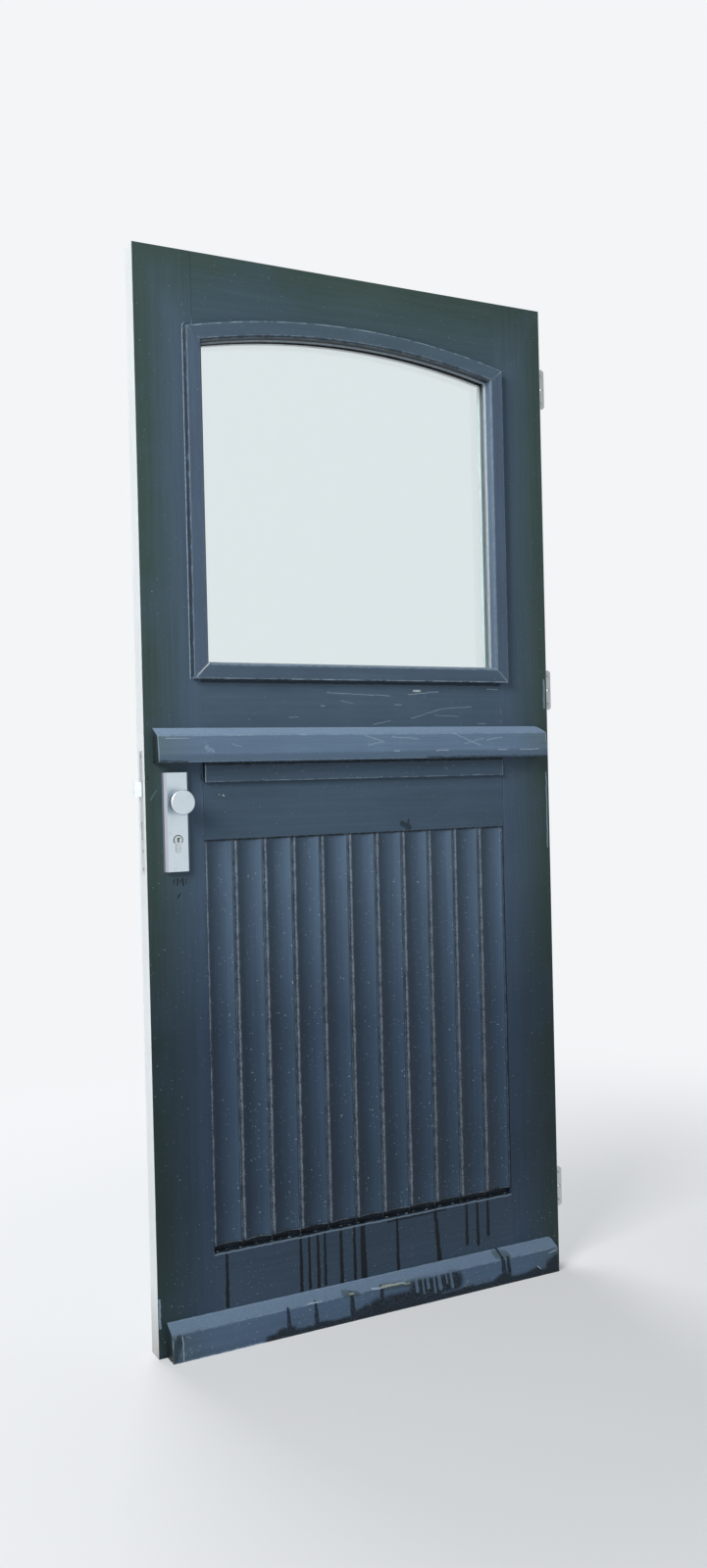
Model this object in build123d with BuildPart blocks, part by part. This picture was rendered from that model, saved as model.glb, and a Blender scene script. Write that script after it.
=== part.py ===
"""Half-glazed stable-look door leaf: arched window above, hollow-coved boards below, on butt hinges.

Millimetres, +Z up. +X runs from the lock edge to the hinge edge and +Y from the outside face to the
inside face. The origin is on the bottom hinge's frame plate: on the face that lies against the door
frame, midway between its two outer screw holes. The plates stand square out of the leaf's edge, as on
a leaf that has been lifted off its frame.
"""

import os
from math import cos, radians, sqrt, tan

from build123d import *

os.makedirs("parts", exist_ok=True)

# Leaf
leaf_width = 930.0
leaf_height = 2115.0
leaf_thickness = 40.0

# Stiles and rails; heights are measured up from the foot of the leaf
lock_stile_width = 117.0
hinge_stile_width = 122.5
bottom_rail_height = 180.0
lock_rail_below_follower = 75.0
lock_rail_height = 179.0
tenon_length = 20.0
tenon_thickness = 12.0
tenon_shoulder = 22.0
mortise_play = 0.25

# Board panel
board_count = 11
board_thickness = 20.0
board_foot = 193.0
vee_width = 3.0
vee_depth = 3.0
ridge_land = 1.6
cove_depth = 6.0
tongue_thickness = 6.0
tongue_length = 6.0
tongue_setback = 11.0
tongue_play = 0.25
rail_groove_depth = 11.0

# Window moulding ring, outside
ring_shift = 2.5
ring_above_lock_rail = 131.5
ring_cover = 15.5
ring_spring_drop = 149.0
ring_rise = 43.0
ring_face = 27.5
ring_chamfer = 3.5
ring_proud = 15.0
ring_arris = 1.0
leg_width = 12.5
leg_depth = 6.5
mitre_gap = 0.3
open_mitre = 2.5

# Double glazing
pane_thickness = 4.0
pane_cover = 11.75
spacer_thickness = 16.0
spacer_width = 7.0
spacer_inset = 0.4
tape_thickness = 1.5
tape_lip = 0.6

# Glazing beads, inside
bead_width = 12.5
bead_proud = 6.0
bead_chamfer = 4.0

# Drip mouldings
drip_left = 17.5
drip_hinge_inset = 24.5
drip_height = 66.5
drip_crease_height = 52.0
drip_crease_depth = 28.0
drip_belly_height = 16.5
drip_belly_depth = 33.0
drip_foot_depth = 34.0
drip_throat = 3.0
drip_throat_back = 9.0
drip_corner = 13.0
drip_end_wear = 5.0
mid_drip_overlap = 29.0
batten_lock_play = 1.0
batten_hinge_play = 3.5
batten_height = 38.5
batten_thickness = 9.0

# Butt hinges
hinge_end_inset = 155.0
middle_hinge_height = 1281.0
hinge_height = 89.0
hinge_reach = 44.5
plate_thickness = 2.5
plate_corner = 8.0
plate_gap = 2.0
knuckle_radius = 5.5
knuckle_count = 5
knuckle_play = 0.3
pin_radius = 3.0
pin_play = 0.05
pin_head_radius = 4.2
pin_head_height = 2.0
pin_stand = 6.5
hinge_hole_radius = 2.4
hinge_sink_radius = 4.6
hinge_hole_spacing = 62.0
hinge_hole_line = 33.0
hinge_hole_stagger = 4.0
hinge_screw_length = 30.0
hinge_screw_radius = 2.05
screw_play = 0.1

# Lock
backset = 60.0
follower_height = 1056.0
follower_to_cylinder = 72.0
faceplate_below_follower = 136.0
faceplate_height = 235.0
faceplate_width = 20.0
faceplate_thickness = 3.0
faceplate_corner = 2.0
faceplate_screw_inset = 10.0
faceplate_screw_length = 25.0
faceplate_screw_radius = 2.0
case_below_follower = 101.0
case_height = 165.0
case_depth = 90.0
case_thickness = 16.0
case_wall = 1.5
case_play = 0.5
latch_above_follower = 12.0
latch_height = 28.0
latch_thickness = 11.0
latch_throw = 14.0
latch_head_length = 36.0
latch_tail_height = 10.0
latch_tail_thickness = 5.0
latch_tail_end = 74.0
latch_tab_drop = 3.5
latch_tab_length = 6.0
latch_tab_play = 0.5
latch_nose = 2.0
deadbolt_below_follower = 69.5
deadbolt_setback = 1.0
deadbolt_height = 33.0
deadbolt_thickness = 11.0
deadbolt_block_length = 36.0
deadbolt_tail_height = 14.0
deadbolt_tail_end = 80.0
bolt_play = 0.3
follower_radius = 10.0
follower_turn = 40.0
follower_arm_radius = 20.0
follower_arm_width = 6.0
follower_journal_radius = 8.0
follower_journal_play = 0.05
follower_side_play = 0.2
spindle_size = 8.0
spindle_play = 0.1

# Profile cylinder
cylinder_radius = 8.5
cylinder_foot_width = 10.0
cylinder_profile_height = 33.0
cylinder_stand = 0.5
cylinder_play = 0.3
cylinder_clearance = 1.0
plug_radius = 6.5
plug_play = 0.05
cam_slot = 11.0
cam_width = 10.0
cam_radius = 15.0
cam_tongue = 8.0
cylinder_screw_radius = 2.5
cylinder_screw_drop = 20.0
cylinder_screw_head = 4.6
keyway_width = 2.2
keyway_height = 8.5
keyway_step = 1.1
keyway_depth = 20.0

# Backplates
backplate_below_follower = 132.5
backplate_height = 189.0
backplate_foot_width = 53.0
backplate_face_width = 40.0
backplate_shoulder_width = 49.0
backplate_shoulder = 4.5
backplate_proud = 11.0
backplate_wall = 2.0
plate_screw_inset = 9.0
plate_screw_radius = 2.5
plate_screw_head_radius = 4.5
plate_screw_head = 2.5

# Fixed knob
knob_radius = 24.0
knob_front = 45.5
knob_rim_depth = 8.0
knob_rim_round = 3.0
knob_groove_radius = 20.5
knob_groove_depth = 3.0
knob_back_depth = 6.0
knob_back_radius = 22.5
knob_neck_radius = 11.0
knob_base_radius = 15.0
knob_base_depth = 3.0

# Lever
lever_radius = 9.5
lever_reach = 52.0
lever_bend = 16.0
lever_length = 118.0
lever_collar_radius = 13.0
lever_collar_depth = 4.0
lever_neck_play = 0.08
lever_neck_depth = 3.0
lever_end_round = 3.0
spindle_grip = 25.0

# Places that follow from the sizes above
hinge_heights = {
    "bottom": hinge_end_inset,
    "middle": middle_hinge_height,
    "top": leaf_height - hinge_end_inset,
}
lock_rail_low = follower_height - lock_rail_below_follower
lock_rail_high = lock_rail_low + lock_rail_height
ring_foot = lock_rail_high + ring_above_lock_rail
mid_drip_foot = lock_rail_high - mid_drip_overlap
ring_half_width = (leaf_width - lock_stile_width - hinge_stile_width) / 2 + ring_cover
ring_spring = leaf_height - ring_spring_drop
drip_right = leaf_width - drip_hinge_inset
batten_left = lock_stile_width + batten_lock_play
batten_right = leaf_width - hinge_stile_width - batten_hinge_play
faceplate_foot = follower_height - faceplate_below_follower
case_foot = follower_height - case_below_follower
latch_foot = follower_height + latch_above_follower
deadbolt_foot = follower_height - deadbolt_below_follower
backplate_foot = follower_height - backplate_below_follower
backplate_top = backplate_foot + backplate_height
pin_x = -hinge_hole_line
pin_y = -(plate_gap / 2 + plate_thickness)
hinge_edge = pin_x - plate_gap / 2
lock_edge = hinge_edge - leaf_width
inside = pin_y - pin_stand
outside = inside - leaf_thickness
middle = (inside + outside) / 2
foot = -hinge_heights["bottom"]
head = foot + leaf_height
opening_left = lock_edge + lock_stile_width
opening_right = hinge_edge - hinge_stile_width
ring_x = (opening_left + opening_right) / 2 - ring_shift
ring_radius = (ring_half_width**2 + ring_rise**2) / (2 * ring_rise)
ring_centre = foot + ring_spring + ring_rise - ring_radius
ring_width = ring_face + ring_chamfer
glass_front = outside + leg_depth + tape_thickness
glass_back = glass_front + 2 * pane_thickness + spacer_thickness
tongue_front = outside + tongue_setback
tongue_back = tongue_front + tongue_thickness
lock_x = lock_edge + backset
follower_z = foot + follower_height
cylinder_z = follower_z - follower_to_cylinder
latch_z = foot + latch_foot + latch_height / 2
deadbolt_z = foot + deadbolt_foot + deadbolt_height / 2
knuckle_length = hinge_height / knuckle_count


def finish(part, label):
    """name a finished piece and write it to its own file"""
    part.label = label
    export_step(part, f"parts/{label}.step")


def block(x, y, z, mode=Mode.ADD):
    """a block between three (low, high) pairs, in the part that is open"""
    with Locations((sum(x) / 2, sum(y) / 2, sum(z) / 2)):
        Box(x[1] - x[0], y[1] - y[0], z[1] - z[0], mode=mode)


def arch_outline(inset):
    """the outline of the window ring, at one inset from its outer edge"""
    half = ring_half_width - inset
    low = foot + ring_foot + inset
    radius = ring_radius - inset
    spring = ring_centre + sqrt(radius**2 - half**2)
    with BuildSketch() as outline:
        with BuildLine():
            Polyline(
                (ring_x - half, spring),
                (ring_x - half, low),
                (ring_x + half, low),
                (ring_x + half, spring),
            )
            ThreePointArc((ring_x + half, spring), (ring_x, ring_centre + radius), (ring_x - half, spring))
        make_face()
    return outline.sketch


def ring_corner(inset, side, at_spring):
    """a corner of the window ring at one inset: side is -1 at the lock and 1 at the hinges"""
    half = ring_half_width - inset
    height = foot + ring_foot + inset
    if at_spring:
        height = ring_centre + sqrt((ring_radius - inset) ** 2 - half**2)
    return Vector(ring_x + side * half, 0, height)


def mitre(corner, inner, towards):
    """the plane of a mitred corner, facing the piece that lies towards a point"""
    normal = (inner - corner).cross(Vector(0, 1, 0)).normalized()
    if normal.dot(towards - corner) < 0:
        normal = -normal
    return Plane(origin=corner + normal * (mitre_gap / 2), z_dir=normal)


def ring_mitre(section, side, at_spring, towards, opened=0.0):
    """a corner's mitre for a moulding of this section, opened at its inner end where the joint gapes"""
    insets = [inset for inset, depth in section]
    corner = ring_corner(min(insets), side, at_spring)
    inner = ring_corner(max(insets), side, at_spring) - Vector(side * opened, 0, 0)
    return mitre(corner, inner, towards)


def ring_jamb(section, side, label):
    """the upright moulding at one side of the window"""
    low = ring_corner(0, side, False)
    high = ring_corner(0, side, True)
    with BuildPart() as jamb:
        with BuildSketch(Plane.XY.offset(low.Z)):
            with BuildLine():
                Polyline([(low.X - side * inset, depth) for inset, depth in section], close=True)
            make_face()
        extrude(amount=high.Z - low.Z)
        for at_spring in (False, True):
            split(bisect_by=ring_mitre(section, side, at_spring, (low + high) / 2), keep=Keep.TOP)
    finish(jamb.part, label)


def ring_sill(section, opened, label):
    """the level moulding under the window; its lock-side mitre may gape"""
    left = ring_corner(0, -1, False)
    right = ring_corner(0, 1, False)
    with BuildPart() as sill:
        with BuildSketch(Plane.YZ.offset(left.X)):
            with BuildLine():
                Polyline([(depth, left.Z + inset) for inset, depth in section], close=True)
            make_face()
        extrude(amount=right.X - left.X)
        split(bisect_by=ring_mitre(section, -1, False, (left + right) / 2, opened), keep=Keep.TOP)
        split(bisect_by=ring_mitre(section, 1, False, (left + right) / 2), keep=Keep.TOP)
    finish(sill.part, label)


def ring_head(section, label):
    """the arched moulding over the window, turned about the arch's centre"""
    crown = Vector(ring_x, 0, ring_centre + ring_radius)
    with BuildPart() as arch:
        with BuildSketch(Plane.YZ.offset(ring_x)):
            with BuildLine():
                Polyline([(depth, crown.Z - inset) for inset, depth in section], close=True)
            make_face()
        revolve(axis=Axis((ring_x, 0, ring_centre), (0, 1, 0)), revolution_arc=360)
        for side in (-1, 1):
            split(bisect_by=ring_mitre(section, side, True, crown), keep=Keep.TOP)
    finish(arch.part, label)


def window_sheet(inset, y, label, inner_inset=None):
    """a pane, or a frame with a hole, that follows the window's outline between two depths"""
    outline = arch_outline(inset)
    hole = arch_outline(inner_inset) if inner_inset else None
    with BuildPart() as sheet:
        with BuildSketch(Plane.XZ.offset(-y[1])):
            add(outline)
            if hole:
                add(hole, mode=Mode.SUBTRACT)
        extrude(amount=y[1] - y[0])
    finish(sheet.part, label)


def cylinder_profile(margin):
    """the keyhole-shaped outline of the lock cylinder, grown by a margin"""
    low = cylinder_z + cylinder_radius - cylinder_profile_height + cylinder_foot_width / 2
    with BuildSketch() as outline:
        with Locations((lock_x, cylinder_z)):
            Circle(cylinder_radius + margin)
        with Locations((lock_x, (cylinder_z + low) / 2)):
            Rectangle(cylinder_foot_width + 2 * margin, cylinder_z - low)
        with Locations((lock_x, low)):
            Circle(cylinder_foot_width / 2 + margin)
    return outline.sketch


def along_y(x, z, radius, y, mode=Mode.SUBTRACT):
    """a round hole or boss that runs through the leaf's thickness, in the part that is open"""
    with Locations(Location((x, (y[0] + y[1]) / 2, z), (90, 0, 0))):
        Cylinder(radius, y[1] - y[0], mode=mode)


def along_x(y, z, radius, x, mode=Mode.SUBTRACT):
    """a round hole that runs along the leaf's width, in the part that is open"""
    with Locations(Location(((x[0] + x[1]) / 2, y, z), (0, 90, 0))):
        Cylinder(radius, x[1] - x[0], mode=mode)


def screws(places, shank, head, length, label):
    """countersunk screws, heads flush with the places' planes, each with a cross recess"""
    sink = head - shank
    recess = head * 0.9
    with BuildPart() as group:
        with Locations(*[Location(place) for place in places]):
            Cylinder(shank, length, align=(Align.CENTER, Align.CENTER, Align.MAX))
            Cone(shank, head, sink, align=(Align.CENTER, Align.CENTER, Align.MAX))
            for across, along in ((recess, recess / 4), (recess / 4, recess)):
                Box(
                    across,
                    along,
                    sink / 2,
                    align=(Align.CENTER, Align.CENTER, Align.MAX),
                    mode=Mode.SUBTRACT,
                )
    finish(group.part, label)


def knuckle_run(heights, grow, mode):
    """one hinge half's knuckles, or the spaces cut for the other half's, in the part that is open"""
    for knuckle in heights:
        with Locations((pin_x, pin_y, knuckle)):
            Cylinder(knuckle_radius + grow, knuckle_length + grow, mode=mode)


# Heights and depths shared by the joinery
arch_half = max(ring_x - opening_left, opening_right - ring_x)
arch_spring = ring_centre + sqrt((ring_radius - ring_cover) ** 2 - arch_half**2)
rail_spans = {
    "bottom_rail": (foot, foot + bottom_rail_height),
    "lock_rail": (foot + lock_rail_low, foot + lock_rail_high),
    "window_rail": (foot + lock_rail_high, foot + ring_foot + ring_cover),
    "top_rail": (arch_spring, head),
}
tenon_y = (middle - tenon_thickness / 2, middle + tenon_thickness / 2)
mortise_y = (tenon_y[0] - mortise_play, tenon_y[1] + mortise_play)
groove_y = (tongue_front - tongue_play, tongue_back + tongue_play)
groove_z = (rail_spans["bottom_rail"][1] - rail_groove_depth, rail_spans["lock_rail"][0] + rail_groove_depth)
board_z = (foot + board_foot, rail_spans["lock_rail"][0])
plate_faces = (outside - backplate_proud, inside + backplate_proud)
plate_screw_heights = (foot + backplate_foot + plate_screw_inset, foot + backplate_top - plate_screw_inset)
case_x = (lock_edge + faceplate_thickness, lock_edge + faceplate_thickness + case_depth)
case_y = (middle - case_thickness / 2, middle + case_thickness / 2)
case_z = (foot + case_foot, foot + case_foot + case_height)
faceplate_z = (foot + faceplate_foot, foot + faceplate_foot + faceplate_height)
cylinder_screw_z = cylinder_z - cylinder_screw_drop
whole_profile = cylinder_profile(cylinder_clearance)
close_profile = cylinder_profile(cylinder_play)
body_profile = cylinder_profile(0.0)
edge_screw_places = [
    Plane(origin=(lock_edge, middle, height), z_dir=(-1, 0, 0))
    for height in (faceplate_z[0] + faceplate_screw_inset, faceplate_z[1] - faceplate_screw_inset)
]
hinge_hole_places = [
    (hinge_hole_line, hinge_hole_spacing / 2),
    (hinge_hole_line, -hinge_hole_spacing / 2),
    (hinge_hole_line + hinge_hole_stagger, 0.0),
]

# Lock stile: mortised for the rails, grooved for the boards and cut for the lock
with BuildPart() as lock_stile:
    block((lock_edge, opening_left), (outside, inside), (foot, head))
    for span in rail_spans.values():
        block(
            (opening_left - tenon_length - mortise_play, opening_left),
            mortise_y,
            (span[0] + tenon_shoulder - mortise_play, span[1] - tenon_shoulder + mortise_play),
            Mode.SUBTRACT,
        )
    block((opening_left - tongue_length - tongue_play, opening_left), groove_y, groove_z, Mode.SUBTRACT)
    block(
        (lock_edge, case_x[0]),
        (middle - faceplate_width / 2, middle + faceplate_width / 2),
        faceplate_z,
        Mode.SUBTRACT,
    )
    block(
        (case_x[0], case_x[1] + case_play),
        (case_y[0] - case_play, case_y[1] + case_play),
        (case_z[0] - case_play, case_z[1] + case_play),
        Mode.SUBTRACT,
    )
    with BuildSketch(Plane.XZ.offset(-inside)):
        add(whole_profile)
    extrude(amount=leaf_thickness, mode=Mode.SUBTRACT)
    along_y(lock_x, follower_z, follower_radius, (outside, inside))
    for height in plate_screw_heights:
        along_y(lock_x, height, plate_screw_radius + case_play, (outside, inside))
    for place in edge_screw_places:
        along_x(
            middle,
            place.origin.Z,
            faceplate_screw_radius + screw_play,
            (lock_edge, lock_edge + faceplate_screw_length + mortise_play),
        )
finish(lock_stile.part, "lock_stile")

# Hinge stile: mortised and grooved like its fellow, with a bed let in for each hinge
with BuildPart() as hinge_stile:
    block((opening_right, hinge_edge), (outside, inside), (foot, head))
    for span in rail_spans.values():
        block(
            (opening_right, opening_right + tenon_length + mortise_play),
            mortise_y,
            (span[0] + tenon_shoulder - mortise_play, span[1] - tenon_shoulder + mortise_play),
            Mode.SUBTRACT,
        )
    block((opening_right, opening_right + tongue_length + tongue_play), groove_y, groove_z, Mode.SUBTRACT)
    for height in hinge_heights.values():
        with BuildSketch(Plane.YZ.offset(hinge_edge - plate_thickness)) as bed:
            with Locations((pin_y - hinge_reach / 2, foot + height)):
                Rectangle(hinge_reach, hinge_height)
            fillet(bed.vertices().group_by(Axis.X)[0], plate_corner)
        extrude(amount=plate_thickness, mode=Mode.SUBTRACT)
        for out, up in hinge_hole_places:
            along_x(
                pin_y - out,
                foot + height + up,
                hinge_screw_radius + screw_play,
                (hinge_edge - hinge_screw_length - mortise_play, hinge_edge),
            )
finish(hinge_stile.part, "hinge_stile")

# Rails: each tenoned at both ends; the panel's rails are grooved and the top rail is arched underneath
for name, span in rail_spans.items():
    with BuildPart() as rail:
        block((opening_left, opening_right), (outside, inside), span)
        block(
            (opening_left - tenon_length, opening_right + tenon_length),
            tenon_y,
            (span[0] + tenon_shoulder, span[1] - tenon_shoulder),
        )
        if name == "bottom_rail":
            block((opening_left, opening_right), groove_y, (groove_z[0], span[1]), Mode.SUBTRACT)
        if name == "lock_rail":
            block((opening_left, opening_right), groove_y, (span[0], groove_z[1]), Mode.SUBTRACT)
        if name == "top_rail":
            along_y(ring_x, ring_centre, ring_radius - ring_cover, (outside, inside))
    finish(rail.part, name)

# Boards: hollow fronts between narrow ridges, vee joints, and a tongue that fills the next board's groove
board_pitch = (opening_right - opening_left) / board_count
board_back = outside + board_thickness
for number in range(board_count):
    left = opening_left + number * board_pitch
    right = left + board_pitch
    ridge = vee_width + ridge_land
    if number == 0:
        left_side = [
            (left, tongue_back),
            (left - tongue_length, tongue_back),
            (left - tongue_length, tongue_front),
            (left, tongue_front),
        ]
    else:
        groove_end = left + tongue_length + tongue_play
        left_side = [
            (left, groove_y[1]),
            (groove_end, groove_y[1]),
            (groove_end, groove_y[0]),
            (left, groove_y[0]),
        ]
    with BuildPart() as board:
        with BuildSketch(Plane.XY.offset(board_z[0])):
            with BuildLine():
                Polyline(
                    (right - ridge, outside),
                    (right - vee_width, outside),
                    (right, outside + vee_depth),
                    (right, tongue_front),
                    (right + tongue_length, tongue_front),
                    (right + tongue_length, tongue_back),
                    (right, tongue_back),
                    (right, board_back),
                    (left, board_back),
                    *left_side,
                    (left, outside + vee_depth),
                    (left + vee_width, outside),
                    (left + ridge, outside),
                )
                ThreePointArc(
                    (left + ridge, outside),
                    ((left + right) / 2, outside + cove_depth),
                    (right - ridge, outside),
                )
            make_face()
        extrude(amount=board_z[1] - board_z[0])
        block((left, right), (tongue_front, tongue_back), (groove_z[0] + tongue_play, board_z[0]))
        block((left, right), (tongue_front, tongue_back), (board_z[1], groove_z[1] - tongue_play))
    finish(board.part, f"panel_board_{number + 1:02d}")

# Window mouldings: a flat lipped section mitred round the outside; the lower mitre at the lock side gapes
ring_front = outside - ring_proud
moulding_section = [
    (0, outside),
    (0, ring_front + ring_arris),
    (ring_arris, ring_front),
    (ring_face, ring_front),
    (ring_width, ring_front + ring_chamfer),
    (ring_width, outside + leg_depth),
    (ring_width - leg_width, outside + leg_depth),
    (ring_width - leg_width, outside),
]
ring_sill(moulding_section, open_mitre, "window_sill_moulding")
ring_jamb(moulding_section, -1, "window_lock_side_moulding")
ring_jamb(moulding_section, 1, "window_hinge_side_moulding")
ring_head(moulding_section, "window_arch_moulding")

# Glazing beads: the same ring inside, holding the glass
bead_back = inside + bead_proud
bead_section = [
    (ring_width - bead_width, glass_back),
    (ring_width - bead_width, bead_back),
    (ring_width - bead_chamfer, bead_back),
    (ring_width, bead_back - bead_chamfer),
    (ring_width, glass_back),
]
ring_sill(bead_section, 0.0, "glazing_sill_bead")
ring_jamb(bead_section, -1, "glazing_lock_side_bead")
ring_jamb(bead_section, 1, "glazing_hinge_side_bead")
ring_head(bead_section, "glazing_arch_bead")

# Double glazing: two panes on a metal spacer, bedded on glazing tape behind the mouldings
pane_inset = ring_width - pane_cover
spacer_y = (glass_front + pane_thickness, glass_back - pane_thickness)
window_sheet(pane_inset, (glass_front, spacer_y[0]), "outer_pane")
window_sheet(pane_inset, (spacer_y[1], glass_back), "inner_pane")
spacer_start = pane_inset + spacer_inset
window_sheet(spacer_start, spacer_y, "glazing_spacer", spacer_start + spacer_width)
window_sheet(pane_inset, (glass_front - tape_thickness, glass_front), "glazing_tape", ring_width + tape_lip)

# Drip mouldings: a weathered top, a face that leans out, an upright foot strip and a throat underneath
drips = {"middle_drip": (mid_drip_foot, drip_corner), "bottom_drip": (0.0, drip_end_wear)}
for name, (height, corner) in drips.items():
    base = foot + height
    with BuildPart() as drip:
        with BuildSketch(Plane.YZ.offset(lock_edge + drip_left)):
            with BuildLine():
                Polyline(
                    (outside, base),
                    (outside - drip_foot_depth, base),
                    (outside - drip_belly_depth, base + drip_belly_height),
                    (outside - drip_crease_depth, base + drip_crease_height),
                    (outside, base + drip_height),
                    close=True,
                )
            make_face()
            with Locations((outside - drip_foot_depth + drip_throat_back, base)):
                Circle(drip_throat, mode=Mode.SUBTRACT)
        extrude(amount=drip_right - drip_left)
        with BuildSketch(Plane.XZ.offset(-outside)) as elevation:
            with Locations((lock_edge + (drip_left + drip_right) / 2, base + drip_height / 2)):
                Rectangle(drip_right - drip_left, drip_height)
            fillet(elevation.vertices().group_by(Axis.X)[-1].sort_by(Axis.Y)[-1], corner)
        extrude(amount=drip_foot_depth, mode=Mode.INTERSECT)
    finish(drip.part, name)

# Batten: a flat strip across the boards' head, tucked up under the middle drip
with BuildPart() as batten:
    block(
        (lock_edge + batten_left, lock_edge + batten_right),
        (outside - batten_thickness, outside),
        (foot + mid_drip_foot - batten_height, foot + mid_drip_foot),
    )
finish(batten.part, "cover_batten")

# Butt hinges: a leaf let into the stile, a plate for the door frame, and knuckles shared between them
leaf_screw_places = []
for name, height in hinge_heights.items():
    centre = foot + height
    span = (centre - hinge_height / 2, centre + hinge_height / 2)
    knuckles = [centre - hinge_height / 2 + knuckle_length * (index + 0.5) for index in range(knuckle_count)]
    with BuildPart() as hinge_leaf:
        block((hinge_edge - plate_thickness, hinge_edge), (pin_y - hinge_reach, pin_y), span)
        fillet(hinge_leaf.edges().filter_by(Axis.X).group_by(Axis.Y)[0], plate_corner)
        knuckle_run(knuckles[1::2], 0.0, Mode.ADD)
        knuckle_run(knuckles[0::2], knuckle_play, Mode.SUBTRACT)
        with Locations((pin_x, pin_y, centre)):
            Cylinder(pin_radius + pin_play, hinge_height, mode=Mode.SUBTRACT)
        for out, up in hinge_hole_places:
            place = Plane(origin=(hinge_edge, pin_y - out, centre + up), z_dir=(1, 0, 0))
            leaf_screw_places.append(place)
            with Locations(Location(place)):
                CounterSinkHole(hinge_hole_radius, hinge_sink_radius, plate_thickness, 90)
    finish(hinge_leaf.part, f"{name}_hinge_leaf")
    with BuildPart() as frame_plate:
        block(
            (pin_x, pin_x + hinge_reach),
            (pin_y + plate_gap / 2, pin_y + plate_gap / 2 + plate_thickness),
            span,
        )
        fillet(frame_plate.edges().filter_by(Axis.Y).group_by(Axis.X)[-1], plate_corner)
        knuckle_run(knuckles[0::2], 0.0, Mode.ADD)
        knuckle_run(knuckles[1::2], knuckle_play, Mode.SUBTRACT)
        with Locations((pin_x, pin_y, centre)):
            Cylinder(pin_radius + pin_play, hinge_height, mode=Mode.SUBTRACT)
        for out, up in hinge_hole_places:
            place = Plane(origin=(pin_x + out, pin_y + plate_gap / 2, centre + up), z_dir=(0, -1, 0))
            with Locations(Location(place)):
                CounterSinkHole(hinge_hole_radius, hinge_sink_radius, plate_thickness, 90)
    finish(frame_plate.part, f"{name}_hinge_plate")
screws(
    leaf_screw_places,
    hinge_screw_radius,
    hinge_sink_radius - screw_play,
    hinge_screw_length,
    "hinge_screws",
)

# Hinge pins: one for each hinge, with a button at both ends
with BuildPart() as hinge_pins:
    with Locations(*[(pin_x, pin_y, foot + height) for height in hinge_heights.values()]):
        Cylinder(pin_radius, hinge_height)
    for height in hinge_heights.values():
        for end in (-1, 1):
            with Locations((pin_x, pin_y, foot + height + end * (hinge_height + pin_head_height) / 2)):
                Cylinder(pin_head_radius, pin_head_height)
finish(hinge_pins.part, "hinge_pins")

# Lock case: a folded tray with its cover, let into the stile behind the faceplate
case_inner = [
    (case_x[0] + case_wall, case_x[1] - case_wall),
    (case_y[0] + case_wall, case_y[1] - case_wall),
    (case_z[0] + case_wall, case_z[1] - case_wall),
]
journal_hole = follower_journal_radius + follower_journal_play
for name in ("lock_case", "lock_cover"):
    with BuildPart() as shell:
        if name == "lock_case":
            block(case_x, (case_y[0], case_inner[1][1]), case_z)
            block(*case_inner, Mode.SUBTRACT)
            front_wall = (case_x[0], case_inner[0][0])
            block(
                front_wall,
                (middle - latch_thickness / 2 - bolt_play, middle + latch_thickness / 2 + bolt_play),
                (latch_z - latch_height / 2 - bolt_play, latch_z + latch_height / 2 + bolt_play),
                Mode.SUBTRACT,
            )
            block(
                front_wall,
                (middle - deadbolt_thickness / 2 - bolt_play, middle + deadbolt_thickness / 2 + bolt_play),
                (deadbolt_z - deadbolt_height / 2 - bolt_play, deadbolt_z + deadbolt_height / 2 + bolt_play),
                Mode.SUBTRACT,
            )
            along_x(middle, cylinder_screw_z, cylinder_screw_radius + screw_play, front_wall)
        else:
            block(case_x, (case_inner[1][1], case_y[1]), case_z)
        with BuildSketch(Plane.XZ.offset(-case_y[1])):
            add(close_profile)
        extrude(amount=case_thickness, mode=Mode.SUBTRACT)
        along_y(lock_x, follower_z, journal_hole, case_y)
        along_y(lock_x, plate_screw_heights[1], plate_screw_radius + case_play, case_y)
    finish(shell.part, name)

# Faceplate: closes the case at the leaf's edge
with BuildPart() as faceplate:
    block(
        (lock_edge, case_x[0]),
        (middle - faceplate_width / 2, middle + faceplate_width / 2),
        faceplate_z,
    )
    fillet(faceplate.edges().filter_by(Axis.X), faceplate_corner)
    for centre, height, thickness in (
        (latch_z, latch_height, latch_thickness),
        (deadbolt_z, deadbolt_height, deadbolt_thickness),
    ):
        block(
            (lock_edge, case_x[0]),
            (middle - thickness / 2 - bolt_play, middle + thickness / 2 + bolt_play),
            (centre - height / 2 - bolt_play, centre + height / 2 + bolt_play),
            Mode.SUBTRACT,
        )
    cylinder_screw_place = Plane(origin=(lock_edge, middle, cylinder_screw_z), z_dir=(-1, 0, 0))
    screw_holes = [(place, faceplate_screw_radius) for place in edge_screw_places]
    screw_holes.append((cylinder_screw_place, cylinder_screw_radius))
    for place, radius in screw_holes:
        with Locations(Location(place)):
            CounterSinkHole(radius + screw_play, cylinder_screw_head + screw_play, faceplate_thickness, 90)
finish(faceplate.part, "lock_faceplate")
screws(
    edge_screw_places,
    faceplate_screw_radius,
    cylinder_screw_head,
    faceplate_screw_length,
    "faceplate_screws",
)
screws(
    [cylinder_screw_place],
    cylinder_screw_radius,
    cylinder_screw_head,
    backset + cylinder_foot_width / 2,
    "cylinder_screw",
)

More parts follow.
